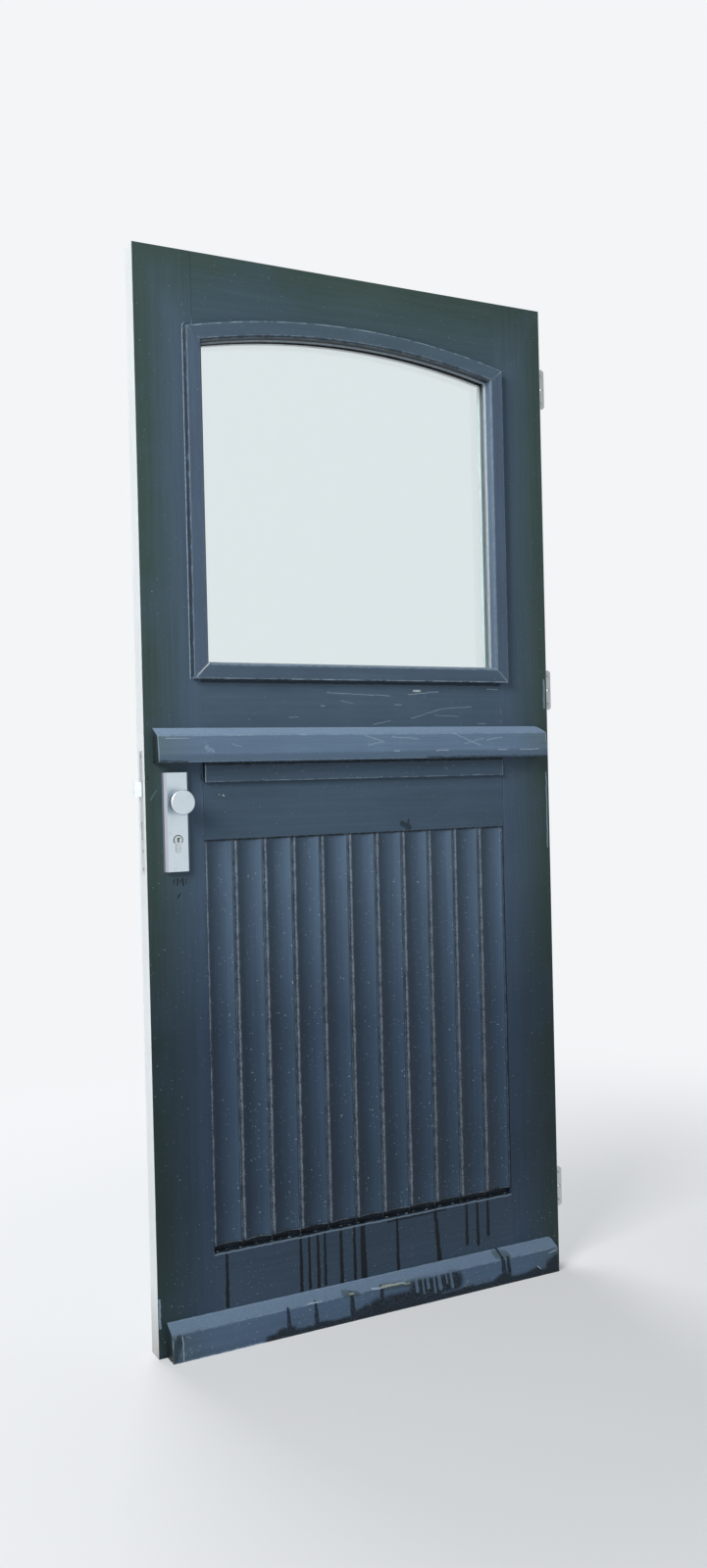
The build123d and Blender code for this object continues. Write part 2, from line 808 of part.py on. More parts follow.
# Latch bolt: a head bevelled on the outside, and a tail with a tab that the follower's arm draws back
latch_y = (middle - latch_thickness / 2, middle + latch_thickness / 2)
latch_back = lock_edge + latch_head_length - latch_throw
half_turn = radians(follower_turn / 2)
tail_z = (latch_z - latch_tail_height / 2, latch_z + latch_tail_height / 2)
tab_low = tail_z[0] - latch_tab_drop
arm_side = follower_arm_width / 2 / cos(half_turn) - (tab_low - follower_z) * tan(half_turn)
tab_x = lock_x + arm_side + latch_tab_play
tail_y = (middle - latch_tail_thickness / 2, middle + latch_tail_thickness / 2)
with BuildPart() as latch_bolt:
    with BuildSketch(Plane.XY.offset(latch_z - latch_height / 2)):
        with BuildLine():
            Polyline(
                (lock_edge - latch_throw, latch_y[1]),
                (lock_edge - latch_throw, latch_y[1] - latch_nose),
                (lock_edge - latch_nose, latch_y[0]),
                (latch_back, latch_y[0]),
                (latch_back, latch_y[1]),
                close=True,
            )
        make_face()
    extrude(amount=latch_height)
    block((latch_back, lock_edge + latch_tail_end), tail_y, tail_z)
    block((tab_x, tab_x + latch_tab_length), tail_y, (tab_low, tail_z[0]))
finish(latch_bolt.part, "latch_bolt")

# Deadbolt: a block that stands just inside the faceplate while it is drawn back, with a long tail
deadbolt_y = (middle - deadbolt_thickness / 2, middle + deadbolt_thickness / 2)
deadbolt_top = deadbolt_z + deadbolt_height / 2
deadbolt_front = lock_edge + deadbolt_setback
with BuildPart() as deadbolt:
    block(
        (deadbolt_front, lock_edge + deadbolt_block_length),
        deadbolt_y,
        (deadbolt_z - deadbolt_height / 2, deadbolt_top),
    )
    block(
        (lock_edge + deadbolt_block_length, lock_edge + deadbolt_tail_end),
        deadbolt_y,
        (deadbolt_top - deadbolt_tail_height, deadbolt_top),
    )
finish(deadbolt.part, "deadbolt")

# Follower: a disc on two journals, with a square bore for the spindle and an arm to the latch
follower_half = case_thickness / 2 - case_wall - follower_side_play
with BuildPart() as follower:
    along_y(lock_x, follower_z, follower_radius, (middle - follower_half, middle + follower_half), Mode.ADD)
    along_y(lock_x, follower_z, follower_journal_radius, case_y, Mode.ADD)
    with Locations(Location((lock_x, middle, follower_z), (0, -follower_turn / 2, 0))):
        Box(
            follower_arm_width,
            latch_tail_thickness,
            follower_arm_radius,
            align=(Align.CENTER, Align.CENTER, Align.MIN),
        )
    block(
        (lock_x - spindle_size / 2 - spindle_play, lock_x + spindle_size / 2 + spindle_play),
        case_y,
        (follower_z - spindle_size / 2 - spindle_play, follower_z + spindle_size / 2 + spindle_play),
        Mode.SUBTRACT,
    )
finish(follower.part, "lock_follower")

# Cylinder: a keyhole-shaped body cut away at its middle for the cam, and bored for a plug at each end
cylinder_y = (plate_faces[0] - cylinder_stand, plate_faces[1] + cylinder_stand)
slot_y = (middle - cam_slot / 2, middle + cam_slot / 2)
cam_sweep = cam_radius + case_play
with BuildPart() as cylinder_body:
    with BuildSketch(Plane.XZ.offset(-cylinder_y[1])):
        add(body_profile)
    extrude(amount=cylinder_y[1] - cylinder_y[0])
    block(
        (lock_x - cam_sweep, lock_x + cam_sweep),
        slot_y,
        (cylinder_z - cam_sweep, cylinder_z + cam_sweep),
        Mode.SUBTRACT,
    )
    along_y(lock_x, cylinder_z, plug_radius + plug_play, cylinder_y)
    along_x(
        middle,
        cylinder_screw_z,
        cylinder_screw_radius + screw_play,
        (lock_x - cylinder_radius, lock_x + cylinder_radius),
    )
finish(cylinder_body.part, "cylinder_body")
plugs = {"outside_plug": (cylinder_y[0], slot_y[0], 1), "inside_plug": (cylinder_y[1], slot_y[1], -1)}
for name, (face, end, inward) in plugs.items():
    with BuildPart() as plug:
        along_y(lock_x, cylinder_z, plug_radius, (min(face, end), max(face, end)), Mode.ADD)
        for step, up in ((-keyway_step / 2, 1), (keyway_step / 2, -1)):
            block(
                (lock_x + step - keyway_width / 2, lock_x + step + keyway_width / 2),
                (min(face, face + inward * keyway_depth), max(face, face + inward * keyway_depth)),
                (cylinder_z + min(0, up * keyway_height / 2), cylinder_z + max(0, up * keyway_height / 2)),
                Mode.SUBTRACT,
            )
    finish(plug.part, name)
cam_y = (middle - cam_width / 2, middle + cam_width / 2)
with BuildPart() as cam:
    block(
        (lock_x - cam_tongue / 2, lock_x + cam_tongue / 2),
        cam_y,
        (cylinder_z - cam_radius, cylinder_z),
    )
    along_y(lock_x, cylinder_z, cam_radius, cam_y, Mode.INTERSECT)
    along_y(lock_x, cylinder_z, cylinder_radius - cylinder_play, cam_y, Mode.ADD)
finish(cam.part, "cylinder_cam")

# Backplates: drawn channels with two bevels down each long side, closed ends and a boss at each screw
half_widths = [backplate_foot_width / 2, backplate_shoulder_width / 2, backplate_face_width / 2]
risers = [0.0, backplate_shoulder, backplate_proud]
for name, face, out in (("outside_backplate", outside, -1), ("inside_backplate", inside, 1)):
    skin = [(half, rise) for half, rise in zip(half_widths, risers)]
    hollow = [(half - backplate_wall, min(rise, backplate_proud - backplate_wall)) for half, rise in skin]
    plate_y = sorted((face, face + out * backplate_proud))
    under_y = sorted((face, face + out * (backplate_proud - backplate_wall)))
    with BuildPart() as backplate:
        for points, inset, mode in ((skin, 0.0, Mode.ADD), (hollow, backplate_wall, Mode.SUBTRACT)):
            right_side = [(lock_x + half, face + out * rise) for half, rise in points]
            left_side = [(lock_x - half, face + out * rise) for half, rise in reversed(points)]
            with BuildSketch(Plane.XY.offset(foot + backplate_foot + inset)):
                with BuildLine():
                    Polyline(right_side + left_side, close=True)
                make_face()
            extrude(amount=backplate_top - backplate_foot - 2 * inset, mode=mode)
        for height in plate_screw_heights:
            along_y(lock_x, height, plate_screw_radius * 2, under_y, Mode.ADD)
        if name == "inside_backplate":
            collar_y = (plate_y[1], plate_y[1] + lever_collar_depth)
            along_y(lock_x, follower_z, lever_collar_radius, collar_y, Mode.ADD)
            along_y(lock_x, follower_z, lever_radius + lever_neck_play, (plate_y[0], collar_y[1]))
        with BuildSketch(Plane.XZ.offset(-plate_y[1])):
            add(close_profile)
        extrude(amount=backplate_proud, mode=Mode.SUBTRACT)
        for height in plate_screw_heights:
            screw_y = under_y if name == "outside_backplate" else plate_y
            along_y(lock_x, height, plate_screw_radius + screw_play, screw_y)
    finish(backplate.part, name)

# Plate screws: from the inside plate's face, through the leaf, into the outside plate's bosses
screw_end = outside - backplate_proud + backplate_wall + screw_play
with BuildPart() as plate_screws:
    for height in plate_screw_heights:
        along_y(lock_x, height, plate_screw_radius, (screw_end, plate_faces[1]), Mode.ADD)
        head_y = (plate_faces[1], plate_faces[1] + plate_screw_head)
        along_y(lock_x, height, plate_screw_head_radius, head_y, Mode.ADD)
        slot = (head_y[1] - plate_screw_head / 2, head_y[1])
        arm = plate_screw_head_radius * 0.6
        bar = plate_screw_head_radius * 0.15
        block((lock_x - arm, lock_x + arm), slot, (height - bar, height + bar), Mode.SUBTRACT)
        block((lock_x - bar, lock_x + bar), slot, (height - arm, height + arm), Mode.SUBTRACT)
finish(plate_screws.part, "plate_screws")

# Fixed knob: a turned disc with a grooved rim on a short neck
knob_back = knob_front - knob_rim_depth - knob_groove_depth - knob_back_depth
with BuildPart() as knob:
    with BuildSketch(Plane.XY.offset(follower_z)):
        with BuildLine():
            Polyline(
                (lock_x, plate_faces[0]),
                (lock_x + knob_base_radius, plate_faces[0]),
                (lock_x + knob_base_radius, plate_faces[0] - knob_base_depth),
                (lock_x + knob_neck_radius, plate_faces[0] - knob_base_depth),
                (lock_x + knob_neck_radius, outside - knob_back),
                (lock_x + knob_back_radius, outside - knob_back),
                (lock_x + knob_back_radius, outside - knob_back - knob_back_depth),
                (lock_x + knob_groove_radius, outside - knob_back - knob_back_depth),
                (lock_x + knob_groove_radius, outside - knob_front + knob_rim_depth),
                (lock_x + knob_radius, outside - knob_front + knob_rim_depth),
                (lock_x + knob_radius, outside - knob_front),
                (lock_x, outside - knob_front),
                close=True,
            )
        make_face()
    revolve(axis=Axis((lock_x, 0, follower_z), (0, 1, 0)), revolution_arc=360)
    fillet(knob.edges().filter_by(GeomType.CIRCLE).group_by(Axis.Y)[0], knob_rim_round)
finish(knob.part, "outside_knob")

# Lever: a round bar bent once, its neck running in the inside plate's collar
neck_start = inside + backplate_proud - backplate_wall - lever_neck_depth
grip_y = inside + lever_reach
with BuildPart() as lever:
    with BuildLine() as path:
        FilletPolyline(
            (lock_x, neck_start, follower_z),
            (lock_x, grip_y, follower_z),
            (lock_x + lever_length, grip_y, follower_z),
            radius=lever_bend,
        )
    with BuildSketch(Plane(origin=(lock_x, neck_start, follower_z), z_dir=(0, 1, 0))):
        Circle(lever_radius)
    sweep(path=path.wire())
    fillet(lever.edges().filter_by(GeomType.CIRCLE).group_by(Axis.X)[-1], lever_end_round)
    block(
        (lock_x - spindle_size / 2 - spindle_play, lock_x + spindle_size / 2 + spindle_play),
        (neck_start, neck_start + spindle_grip),
        (follower_z - spindle_size / 2 - spindle_play, follower_z + spindle_size / 2 + spindle_play),
        Mode.SUBTRACT,
    )
finish(lever.part, "inside_lever")

# Spindle: a square bar from the follower into the lever's neck
with BuildPart() as spindle:
    block(
        (lock_x - spindle_size / 2, lock_x + spindle_size / 2),
        (case_y[0], neck_start + spindle_grip - spindle_play),
        (follower_z - spindle_size / 2, follower_z + spindle_size / 2),
    )
finish(spindle.part, "lock_spindle")
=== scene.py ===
import math

import bmesh
import bpy
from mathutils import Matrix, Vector


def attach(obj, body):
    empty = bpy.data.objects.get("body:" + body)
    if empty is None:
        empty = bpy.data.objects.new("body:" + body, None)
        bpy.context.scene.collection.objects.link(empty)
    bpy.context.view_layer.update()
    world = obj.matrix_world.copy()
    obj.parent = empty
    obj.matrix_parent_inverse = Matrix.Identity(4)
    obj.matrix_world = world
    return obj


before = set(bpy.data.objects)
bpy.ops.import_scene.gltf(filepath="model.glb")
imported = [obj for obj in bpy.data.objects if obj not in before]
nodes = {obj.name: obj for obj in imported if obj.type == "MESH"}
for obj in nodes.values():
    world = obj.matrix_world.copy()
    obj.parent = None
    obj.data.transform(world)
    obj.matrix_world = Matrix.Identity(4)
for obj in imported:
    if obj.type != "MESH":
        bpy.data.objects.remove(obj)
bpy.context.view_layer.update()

# Camera: a phone held upright at chest height, left of the leaf and 2.4 m in front of it.
# The place, turn and lens are those that put the leaf's edges where the photograph has them.
camera_data = bpy.data.cameras.new("photo_camera")
camera_data.sensor_fit = "VERTICAL"
camera_data.sensor_height = 36
camera_data.lens = 29.4934
camera_data.dof.use_dof = False
camera = bpy.data.objects.new("photo_camera", camera_data)
camera.location = (-1.724474, -2.387446, 0.947747)
camera.rotation_euler = [math.radians(angle) for angle in (89.530539, 1.351055, -27.259620)]
bpy.context.scene.collection.objects.link(camera)
bpy.context.scene.camera = camera


# Studio: a pale paper floor, one large soft light high on the lock side that rakes over the
# boards, a weak fill from the front and one behind, and a surround that looks white.
def linear(colour):
    """an sRGB hex colour as linear red, green, blue and alpha"""
    values = [int(colour[i:i + 2], 16) / 255 for i in (1, 3, 5)]
    return [v / 12.92 if v <= 0.04045 else ((v + 0.055) / 1.055) ** 2.4 for v in values] + [1.0]


def add(tree, kind, inputs=None, output=0, **settings):
    """a shader node with its settings, and its inputs set or linked; gives one of its outputs"""
    node = tree.nodes.new(f"ShaderNode{kind}")
    for name, value in settings.items():
        setattr(node, name, value)
    for name, value in (inputs or {}).items():
        if isinstance(value, bpy.types.NodeSocket):
            tree.links.new(value, node.inputs[name])
        else:
            node.inputs[name].default_value = value
    return node.outputs[output] if node.outputs else None


def new_material(name):
    """an empty node material with its surface shader and output"""
    material = bpy.data.materials.new(name)
    material.use_nodes = True
    tree = material.node_tree
    tree.nodes.clear()
    surface = add(tree, "BsdfPrincipled")
    add(tree, "OutputMaterial", {"Surface": surface})
    return material, tree, surface.node


bpy.context.scene.view_settings.view_transform = "Standard"
world = bpy.data.worlds.new("studio_surround")
bpy.context.scene.world = world
world.use_nodes = True
sky = world.node_tree
sky.nodes.clear()
paper_white = linear("#f3f5f7")
rays = add(sky, "LightPath").node.outputs
straight = add(sky, "Math", {0: rays["Is Camera Ray"], 1: rays["Is Transmission Ray"]}, operation="MAXIMUM")
soft = add(sky, "Background", {"Color": linear("#dde8f2"), "Strength": 0.22})
white = add(sky, "Background", {"Color": paper_white, "Strength": 1.0})
shown = add(sky, "MixShader", {0: straight, 1: soft, 2: white})
# metal and glass see the same white, falling off away from the large light
way = add(sky, "TexCoord", output="Generated")
towards = add(sky, "VectorMath", {0: way, 1: (-0.72, -0.40, 0.56)}, 1, operation="DOT_PRODUCT")
fall = add(sky, "MapRange", {0: towards, "From Min": -0.7, "From Max": 0.6, "To Min": 0.40})
mirrored = add(sky, "Background", {"Color": paper_white, "Strength": fall})
bounced = add(sky, "Math", {0: rays["Is Glossy Ray"], 1: rays["Is Transmission Ray"]},
              operation="SUBTRACT", use_clamp=True)
shown = add(sky, "MixShader", {0: bounced, 1: shown, 2: mirrored})
add(sky, "OutputWorld", {"Surface": shown})

for name, place, aim, size, power in (
    ("high_left_light", (-4.7, -2.3, 3.5), (-0.5, 0.0, 1.0), 2.4, 245),
    ("front_light", (0.4, -4.2, 2.2), (-0.5, 0.0, 0.9), 2.4, 10),
    ("back_light", (-0.6, 3.4, 2.8), (-0.5, 0.0, 0.9), 2.6, 125),
):
    lamp_data = bpy.data.lights.new(name, "AREA")
    lamp_data.size = size
    lamp_data.energy = power
    lamp = bpy.data.objects.new(name, lamp_data)
    lamp.location = place
    lamp.rotation_euler = (Vector(aim) - Vector(place)).to_track_quat("-Z", "Y").to_euler()
    lamp.visible_camera = False
    lamp.visible_glossy = name == "high_left_light"
    lamp.visible_transmission = False
    bpy.context.scene.collection.objects.link(lamp)

leaf_foot, floor_size = -0.155, 40
bpy.ops.object.select_all(action="DESELECT")
bpy.ops.mesh.primitive_plane_add(size=floor_size, location=(-0.5, 0, leaf_foot))
floor = bpy.context.object
floor.name = "studio_floor"
paper, tree, surface = new_material("pale studio paper")
surface.inputs["Base Color"].default_value = linear("#e6e7e8")
surface.inputs["Roughness"].default_value = 0.9
surface.inputs["Specular IOR Level"].default_value = 0.1
# away from the leaf the paper runs evenly into the surround, and near it it keeps the shadow
place = add(tree, "TexCoord", output="Object")
reach = add(tree, "VectorMath", {0: place}, 1, operation="LENGTH")
far = add(tree, "MapRange", {0: reach, "From Min": 0.7, "From Max": 2.6, "To Min": 0.35},
          interpolation_type="SMOOTHSTEP")
rays = add(tree, "LightPath").node.outputs
seen = add(tree, "Math", {0: rays["Is Camera Ray"], 1: rays["Is Transmission Ray"]}, operation="MAXIMUM")
seen = add(tree, "Math", {0: rays["Is Glossy Ray"], 1: seen}, operation="MAXIMUM")
far = add(tree, "Math", {0: far, 1: seen}, operation="MULTIPLY")
even = add(tree, "Emission", {"Color": paper_white, "Strength": 1.0})
shown = add(tree, "MixShader", {0: far, 1: surface.outputs[0], 2: even})
tree.links.new(shown, tree.nodes["Material Output"].inputs["Surface"])
floor.data.materials.append(paper)

# Leaf timber: softwood, brush-painted in a dark slate blue outside and an off-white inside and
# on the edges. The outside is greener near its edges, and darker low down, partly from damp and
# dirt and partly as painted shade for the light that falls off towards the foot.
lock_edge, hinge_edge, leaf_height = -0.964, -0.034, 2.115


def stroke_group():
    """a node group that says how near a point of the front is to the line between two others"""
    group = bpy.data.node_groups.new("stroke over the front", "ShaderNodeTree")
    for name, kind in (("Point", "Vector"), ("From", "Vector"), ("To", "Vector"),
                       ("Width", "Float"), ("Spread", "Float")):
        group.interface.new_socket(name, in_out="INPUT", socket_type=f"NodeSocket{kind}")
    group.interface.new_socket("Mask", in_out="OUTPUT", socket_type="NodeSocketFloat")
    point, start, end, width, spread = list(group.nodes.new("NodeGroupInput").outputs)[:5]
    line = add(group, "VectorMath", {0: end, 1: start}, operation="SUBTRACT")
    away = add(group, "VectorMath", {0: point, 1: start}, operation="SUBTRACT")
    away = add(group, "VectorMath", {0: away, 1: (1, 0, 1)}, operation="MULTIPLY")
    shadow = add(group, "VectorMath", {0: away, 1: line}, 1, operation="DOT_PRODUCT")
    square = add(group, "VectorMath", {0: line, 1: line}, 1, operation="DOT_PRODUCT")
    share = add(group, "Math", {0: shadow, 1: square}, operation="DIVIDE", use_clamp=True)
    on_line = add(group, "VectorMath", {0: line, "Scale": share}, operation="SCALE")
    off_line = add(group, "VectorMath", {0: away, 1: on_line}, 1, operation="DISTANCE")
    wide = add(group, "Math", {0: share, 1: spread, 2: 1.0}, operation="MULTIPLY_ADD")
    wide = add(group, "Math", {0: wide, 1: width}, operation="MULTIPLY")
    near = add(group, "Math", {0: off_line, 1: wide}, operation="DIVIDE")
    mask = add(group, "MapRange", {0: near, "From Min": 0.5, "From Max": 0.22},
               interpolation_type="SMOOTHSTEP")
    group.links.new(mask, group.nodes.new("NodeGroupOutput").inputs[0])
    return group


stroke = stroke_group()


def marked(tree, point, under, colour, marks, strength):
    """colour along straight marks: two ends, a width and maybe a spread, in the leaf's own mm"""
    total = None
    for x0, y0, x1, y1, width, *spread in marks:
        start, end = [(lock_edge + x / 1000, 0, leaf_foot + y / 1000) for x, y in ((x0, y0), (x1, y1))]
        line = {"From": start, "To": end, "Width": width / 1000, "Spread": spread[0] if spread else 0.0}
        mark = add(tree, "Group", {"Point": point, **line}, node_tree=stroke)
        if total is not None:
            mark = add(tree, "Math", {0: total, 1: mark}, operation="MAXIMUM")
        total = mark
    patchy = add(tree, "TexNoise", {"Vector": point, "Scale": 420.0, "Detail": 2.0})
    patchy = add(tree, "MapRange", {0: patchy, "From Min": 0.36, "From Max": 0.6,
                                    "To Min": 0.55 * strength, "To Max": strength})
    share = add(tree, "Math", {0: total, 1: patchy}, operation="MULTIPLY")
    return add(tree, "Mix", {0: share, 6: under, 7: linear(colour)}, 2, data_type="RGBA")


def painted_timber(name, along, front, tinge, sheen=0.40, worn=0.0, marks=(), flanks=False):
    """outside paint over grain along x or z, with white paint on the inside and the edges"""
    material, tree, surface = new_material(name)
    place = add(tree, "TexCoord", output="Object")
    x, y, z = add(tree, "SeparateXYZ", {0: place}).node.outputs
    over_grain, with_grain = 1 / 0.0016, 1 / 0.060
    stretch = [with_grain if axis == along else over_grain for axis in "xyz"]
    brushed = add(tree, "Mapping", {0: place, "Scale": stretch})
    bristle = add(tree, "TexNoise", {0: brushed, "Scale": 1.0, "Detail": 3.0, "Roughness": 0.55})
    grained = add(tree, "Mapping", {0: place, "Scale": [value / 5 for value in stretch]})
    grain = add(tree, "TexNoise", {0: grained, "Scale": 1.0, "Detail": 4.0, "Roughness": 0.6})
    cloud = add(tree, "TexNoise", {0: place, "Scale": 3.2, "Detail": 4.0, "Roughness": 0.6})
    fleck = add(tree, "TexNoise", {0: place, "Scale": 260.0, "Detail": 1.0})

    # greener towards both long edges and the head, broken up by the slow clouds
    leaf_middle = (lock_edge + hinge_edge) / 2
    sideways = add(tree, "Math", {0: x, 1: leaf_middle}, operation="SUBTRACT")
    sideways = add(tree, "Math", {0: sideways}, operation="ABSOLUTE")
    edge = add(tree, "MapRange", {0: sideways, "From Min": 0.36, "From Max": 0.45})
    head = add(tree, "MapRange", {0: z, "From Min": 1.75, "From Max": 1.95})
    green = add(tree, "Math", {0: edge, 1: head}, operation="MAXIMUM")
    broken = add(tree, "MapRange", {0: cloud, "From Min": 0.2, "From Max": 0.5})
    green = add(tree, "Math", {0: green, 1: broken}, operation="MULTIPLY", use_clamp=True)
    coat = add(tree, "Mix", {0: green, 6: linear(front), 7: linear(tinge)}, 2, data_type="RGBA")

    # darker and bluer below the lock, partly damp and dirt and partly painted shade for the light
    # falling off low down, under the grain and the brush strokes
    height = add(tree, "MapRange", {0: z, "From Min": leaf_foot, "From Max": leaf_foot + leaf_height})
    damp_and_falloff = add(tree, "ValToRGB", {0: height})
    steps = ((0.0, 0.50, 0.08), (0.03, 0.52, 0.10), (0.13, 0.345, 0.15), (0.28, 0.385, 0.15),
             (0.43, 0.75, 0.03), (0.60, 0.90, 0.0), (0.85, 1.0, 0.0), (1.0, 0.96, 0.0))
    ends = damp_and_falloff.node.color_ramp.elements
    for (position, level, blue), step in zip(steps, list(ends) + [None] * (len(steps) - 2)):
        step = step or ends.new(position)
        step.position = position
        step.color = (level * (1 - blue), level, level * (1 + blue), 1)
    lighter = add(tree, "MapRange", {0: grain, "From Min": 0.25, "From Max": 0.75,
                                     "To Min": 0.90, "To Max": 1.10})
    strand = add(tree, "MapRange", {0: bristle, "From Min": 0.2, "From Max": 0.8,
                                    "To Min": 0.92, "To Max": 1.08})
    patch = add(tree, "MapRange", {0: cloud, "From Min": 0.2, "From Max": 0.8,
                                   "To Min": 0.84, "To Max": 1.16})
    shade = add(tree, "Math", {0: lighter, 1: strand}, operation="MULTIPLY")
    shade = add(tree, "Math", {0: shade, 1: patch}, operation="MULTIPLY")
    coat = add(tree, "VectorMath", {0: coat, "Scale": shade}, operation="SCALE")
    coat = add(tree, "VectorMath", {0: coat, 1: damp_and_falloff}, operation="MULTIPLY")

    # undersides are darkened as painted shade, and splashed specks lie thicker towards the foot
    normal = add(tree, "TexCoord", output="Normal")
    sidewards, _, upwards = add(tree, "SeparateXYZ", {0: normal}).node.outputs
    under = add(tree, "MapRange", {0: upwards, "From Min": -0.9, "From Max": -0.25, "To Min": 0.25})
    coat = add(tree, "VectorMath", {0: coat, "Scale": under}, operation="SCALE")
    splash = add(tree, "MapRange", {0: z, "From Min": 0.12, "From Max": -0.10, "To Max": 0.034})
    fleck = add(tree, "Math", {0: fleck, 1: splash}, operation="ADD")
    spot = add(tree, "MapRange", {0: fleck, "From Min": 0.73, "From Max": 0.76})
    coat = add(tree, "Mix", {0: spot, 6: coat, 7: linear("#8b969c")}, 2, data_type="RGBA")

    # painted light and shade across each board: the hollow darker on its left and lighter on its right;
    # at each joint the far flank is rubbed pale in specks, partly wear and partly painted highlight,
    # and the near flank is painted dark as shade
    if flanks:
        panel_left, board_pitch = -0.847, 0.6905 / 11
        across = add(tree, "Math", {0: x, 1: 1 / board_pitch, 2: -panel_left / board_pitch},
                     operation="MULTIPLY_ADD")
        across = add(tree, "Math", {0: across}, operation="FRACT")
        hollow_light_and_shade = add(tree, "MapRange", {0: across, "From Min": 0.15, "From Max": 0.87,
                                           "To Min": 0.70, "To Max": 1.28})
        coat = add(tree, "VectorMath", {0: coat, "Scale": hollow_light_and_shade}, operation="SCALE")
        near_flank_shade = add(tree, "MapRange", {0: across, "From Min": 0.875, "From Max": 0.90, "To Max": 0.70},
                    interpolation_type="SMOOTHSTEP")
        coat = add(tree, "Mix", {0: near_flank_shade, 6: coat, 7: linear("#1d262f")}, 2, data_type="RGBA")
        before = add(tree, "MapRange", {0: across, "From Min": 0.968, "From Max": 0.98})
        after = add(tree, "MapRange", {0: across, "From Min": 0.055, "From Max": 0.01})
        rubbed = add(tree, "Math", {0: before, 1: after}, operation="MAXIMUM")
        speck = add(tree, "TexNoise", {0: place, "Scale": 210.0, "Detail": 4.0, "Roughness": 0.75})
        speck = add(tree, "MapRange", {0: speck, "From Min": 0.40, "From Max": 0.66,
                                       "To Min": 0.05, "To Max": 0.72})
        rubbed = add(tree, "Math", {0: rubbed, 1: speck}, operation="MULTIPLY")
        coat = add(tree, "Mix", {0: rubbed, 6: coat, 7: linear("#a9b8c4")}, 2, data_type="RGBA")

    # paint rubbed thin along the outward corners
    if worn:
        rubbed = add(tree, "AmbientOcclusion", {"Distance": 0.0030}, "AO",
                     inside=True, only_local=True, samples=4)
        rubbed = add(tree, "MapRange", {0: rubbed, "From Min": 0.93, "From Max": 0.72})
        tatter = add(tree, "TexNoise", {0: place, "Scale": 55.0, "Detail": 5.0, "Roughness": 0.7})
        tatter = add(tree, "MapRange", {0: tatter, "From Min": 0.40, "From Max": 0.58, "To Max": worn})
        rubbed = add(tree, "Math", {0: rubbed, 1: tatter}, operation="MULTIPLY", use_clamp=True)
        coat = add(tree, "Mix", {0: rubbed, 6: coat, 7: linear("#aebfce")}, 2, data_type="RGBA")

    # runs, dirt, scratches and painted shadows, wavering by 2 mm
    waver = (0.002, 0.0, 0.002)
    wobble = add(tree, "TexNoise", {0: place, "Scale": 60.0, "Detail": 2.0}, "Color")
    wobble = add(tree, "VectorMath", {0: wobble, 1: [2 * size for size in waver],
                                      2: [-size for size in waver]}, operation="MULTIPLY_ADD")
    point = add(tree, "VectorMath", {0: wobble, 1: place}, operation="ADD")
    for colour, strength, lines in marks:
        coat = marked(tree, point, coat, colour, lines, strength)
    # faces of a level piece that turn towards the lock side are darkened to near black
    if along == "x":
        lock_side_faces = add(tree, "MapRange", {0: sidewards, "From Min": -0.95, "From Max": -0.6, "To Min": 0.08})
        coat = add(tree, "Mix", {0: lock_side_faces, 6: linear("#151d1b"), 7: coat}, 2, data_type="RGBA")

    # white beyond the outer arris of either long edge, and behind the panel's back
    paint_edge, panel_back = 0.0004, -0.0305
    left = add(tree, "Math", {0: x, 1: lock_edge + paint_edge}, operation="LESS_THAN")
    right = add(tree, "Math", {0: x, 1: hinge_edge - paint_edge}, operation="GREATER_THAN")
    back = add(tree, "Math", {0: y, 1: panel_back}, operation="GREATER_THAN")
    pale = add(tree, "Math", {0: left, 1: right}, operation="MAXIMUM")
    pale = add(tree, "Math", {0: pale, 1: back}, operation="MAXIMUM")
    aged = add(tree, "MapRange", {0: cloud, "From Min": 0.3, "From Max": 0.8})
    chalk = add(tree, "Mix", {0: aged, 6: linear("#dde2e5"), 7: linear("#cfd3d1")}, 2, data_type="RGBA")
    low = add(tree, "MapRange", {0: z, "From Min": -0.02, "From Max": leaf_foot})
    soiled = add(tree, "Math", {0: low, 1: grain}, operation="MULTIPLY", use_clamp=True)
    chalk = add(tree, "Mix", {0: soiled, 6: chalk, 7: linear("#6f6654")}, 2, data_type="RGBA")
    skin = add(tree, "Mix", {0: pale, 6: coat, 7: chalk}, 2, data_type="RGBA")
    tree.links.new(skin, surface.inputs["Base Color"])

    surface.inputs["Specular IOR Level"].default_value = 0.20
    dull = add(tree, "MapRange", {0: cloud, "To Min": sheen - 0.06, "To Max": sheen + 0.10})
    tree.links.new(dull, surface.inputs["Roughness"])
    # the grain is filled better under the white
    height = add(tree, "Math", {0: grain, 1: bristle}, operation="ADD")
    filled = add(tree, "MapRange", {0: pale, "To Min": 1.0, "To Max": 0.35})
    height = add(tree, "Math", {0: height, 1: filled}, operation="MULTIPLY")
    relief = add(tree, "Bump", {"Height": height, "Strength": 0.40, "Distance": 0.00035})
    tree.links.new(relief, surface.inputs["Normal"])
    return material


def dress(name, material):
    """one CAD piece with its finish"""
    piece = nodes[name]
    piece.data.materials.clear()
    piece.data.materials.append(material)
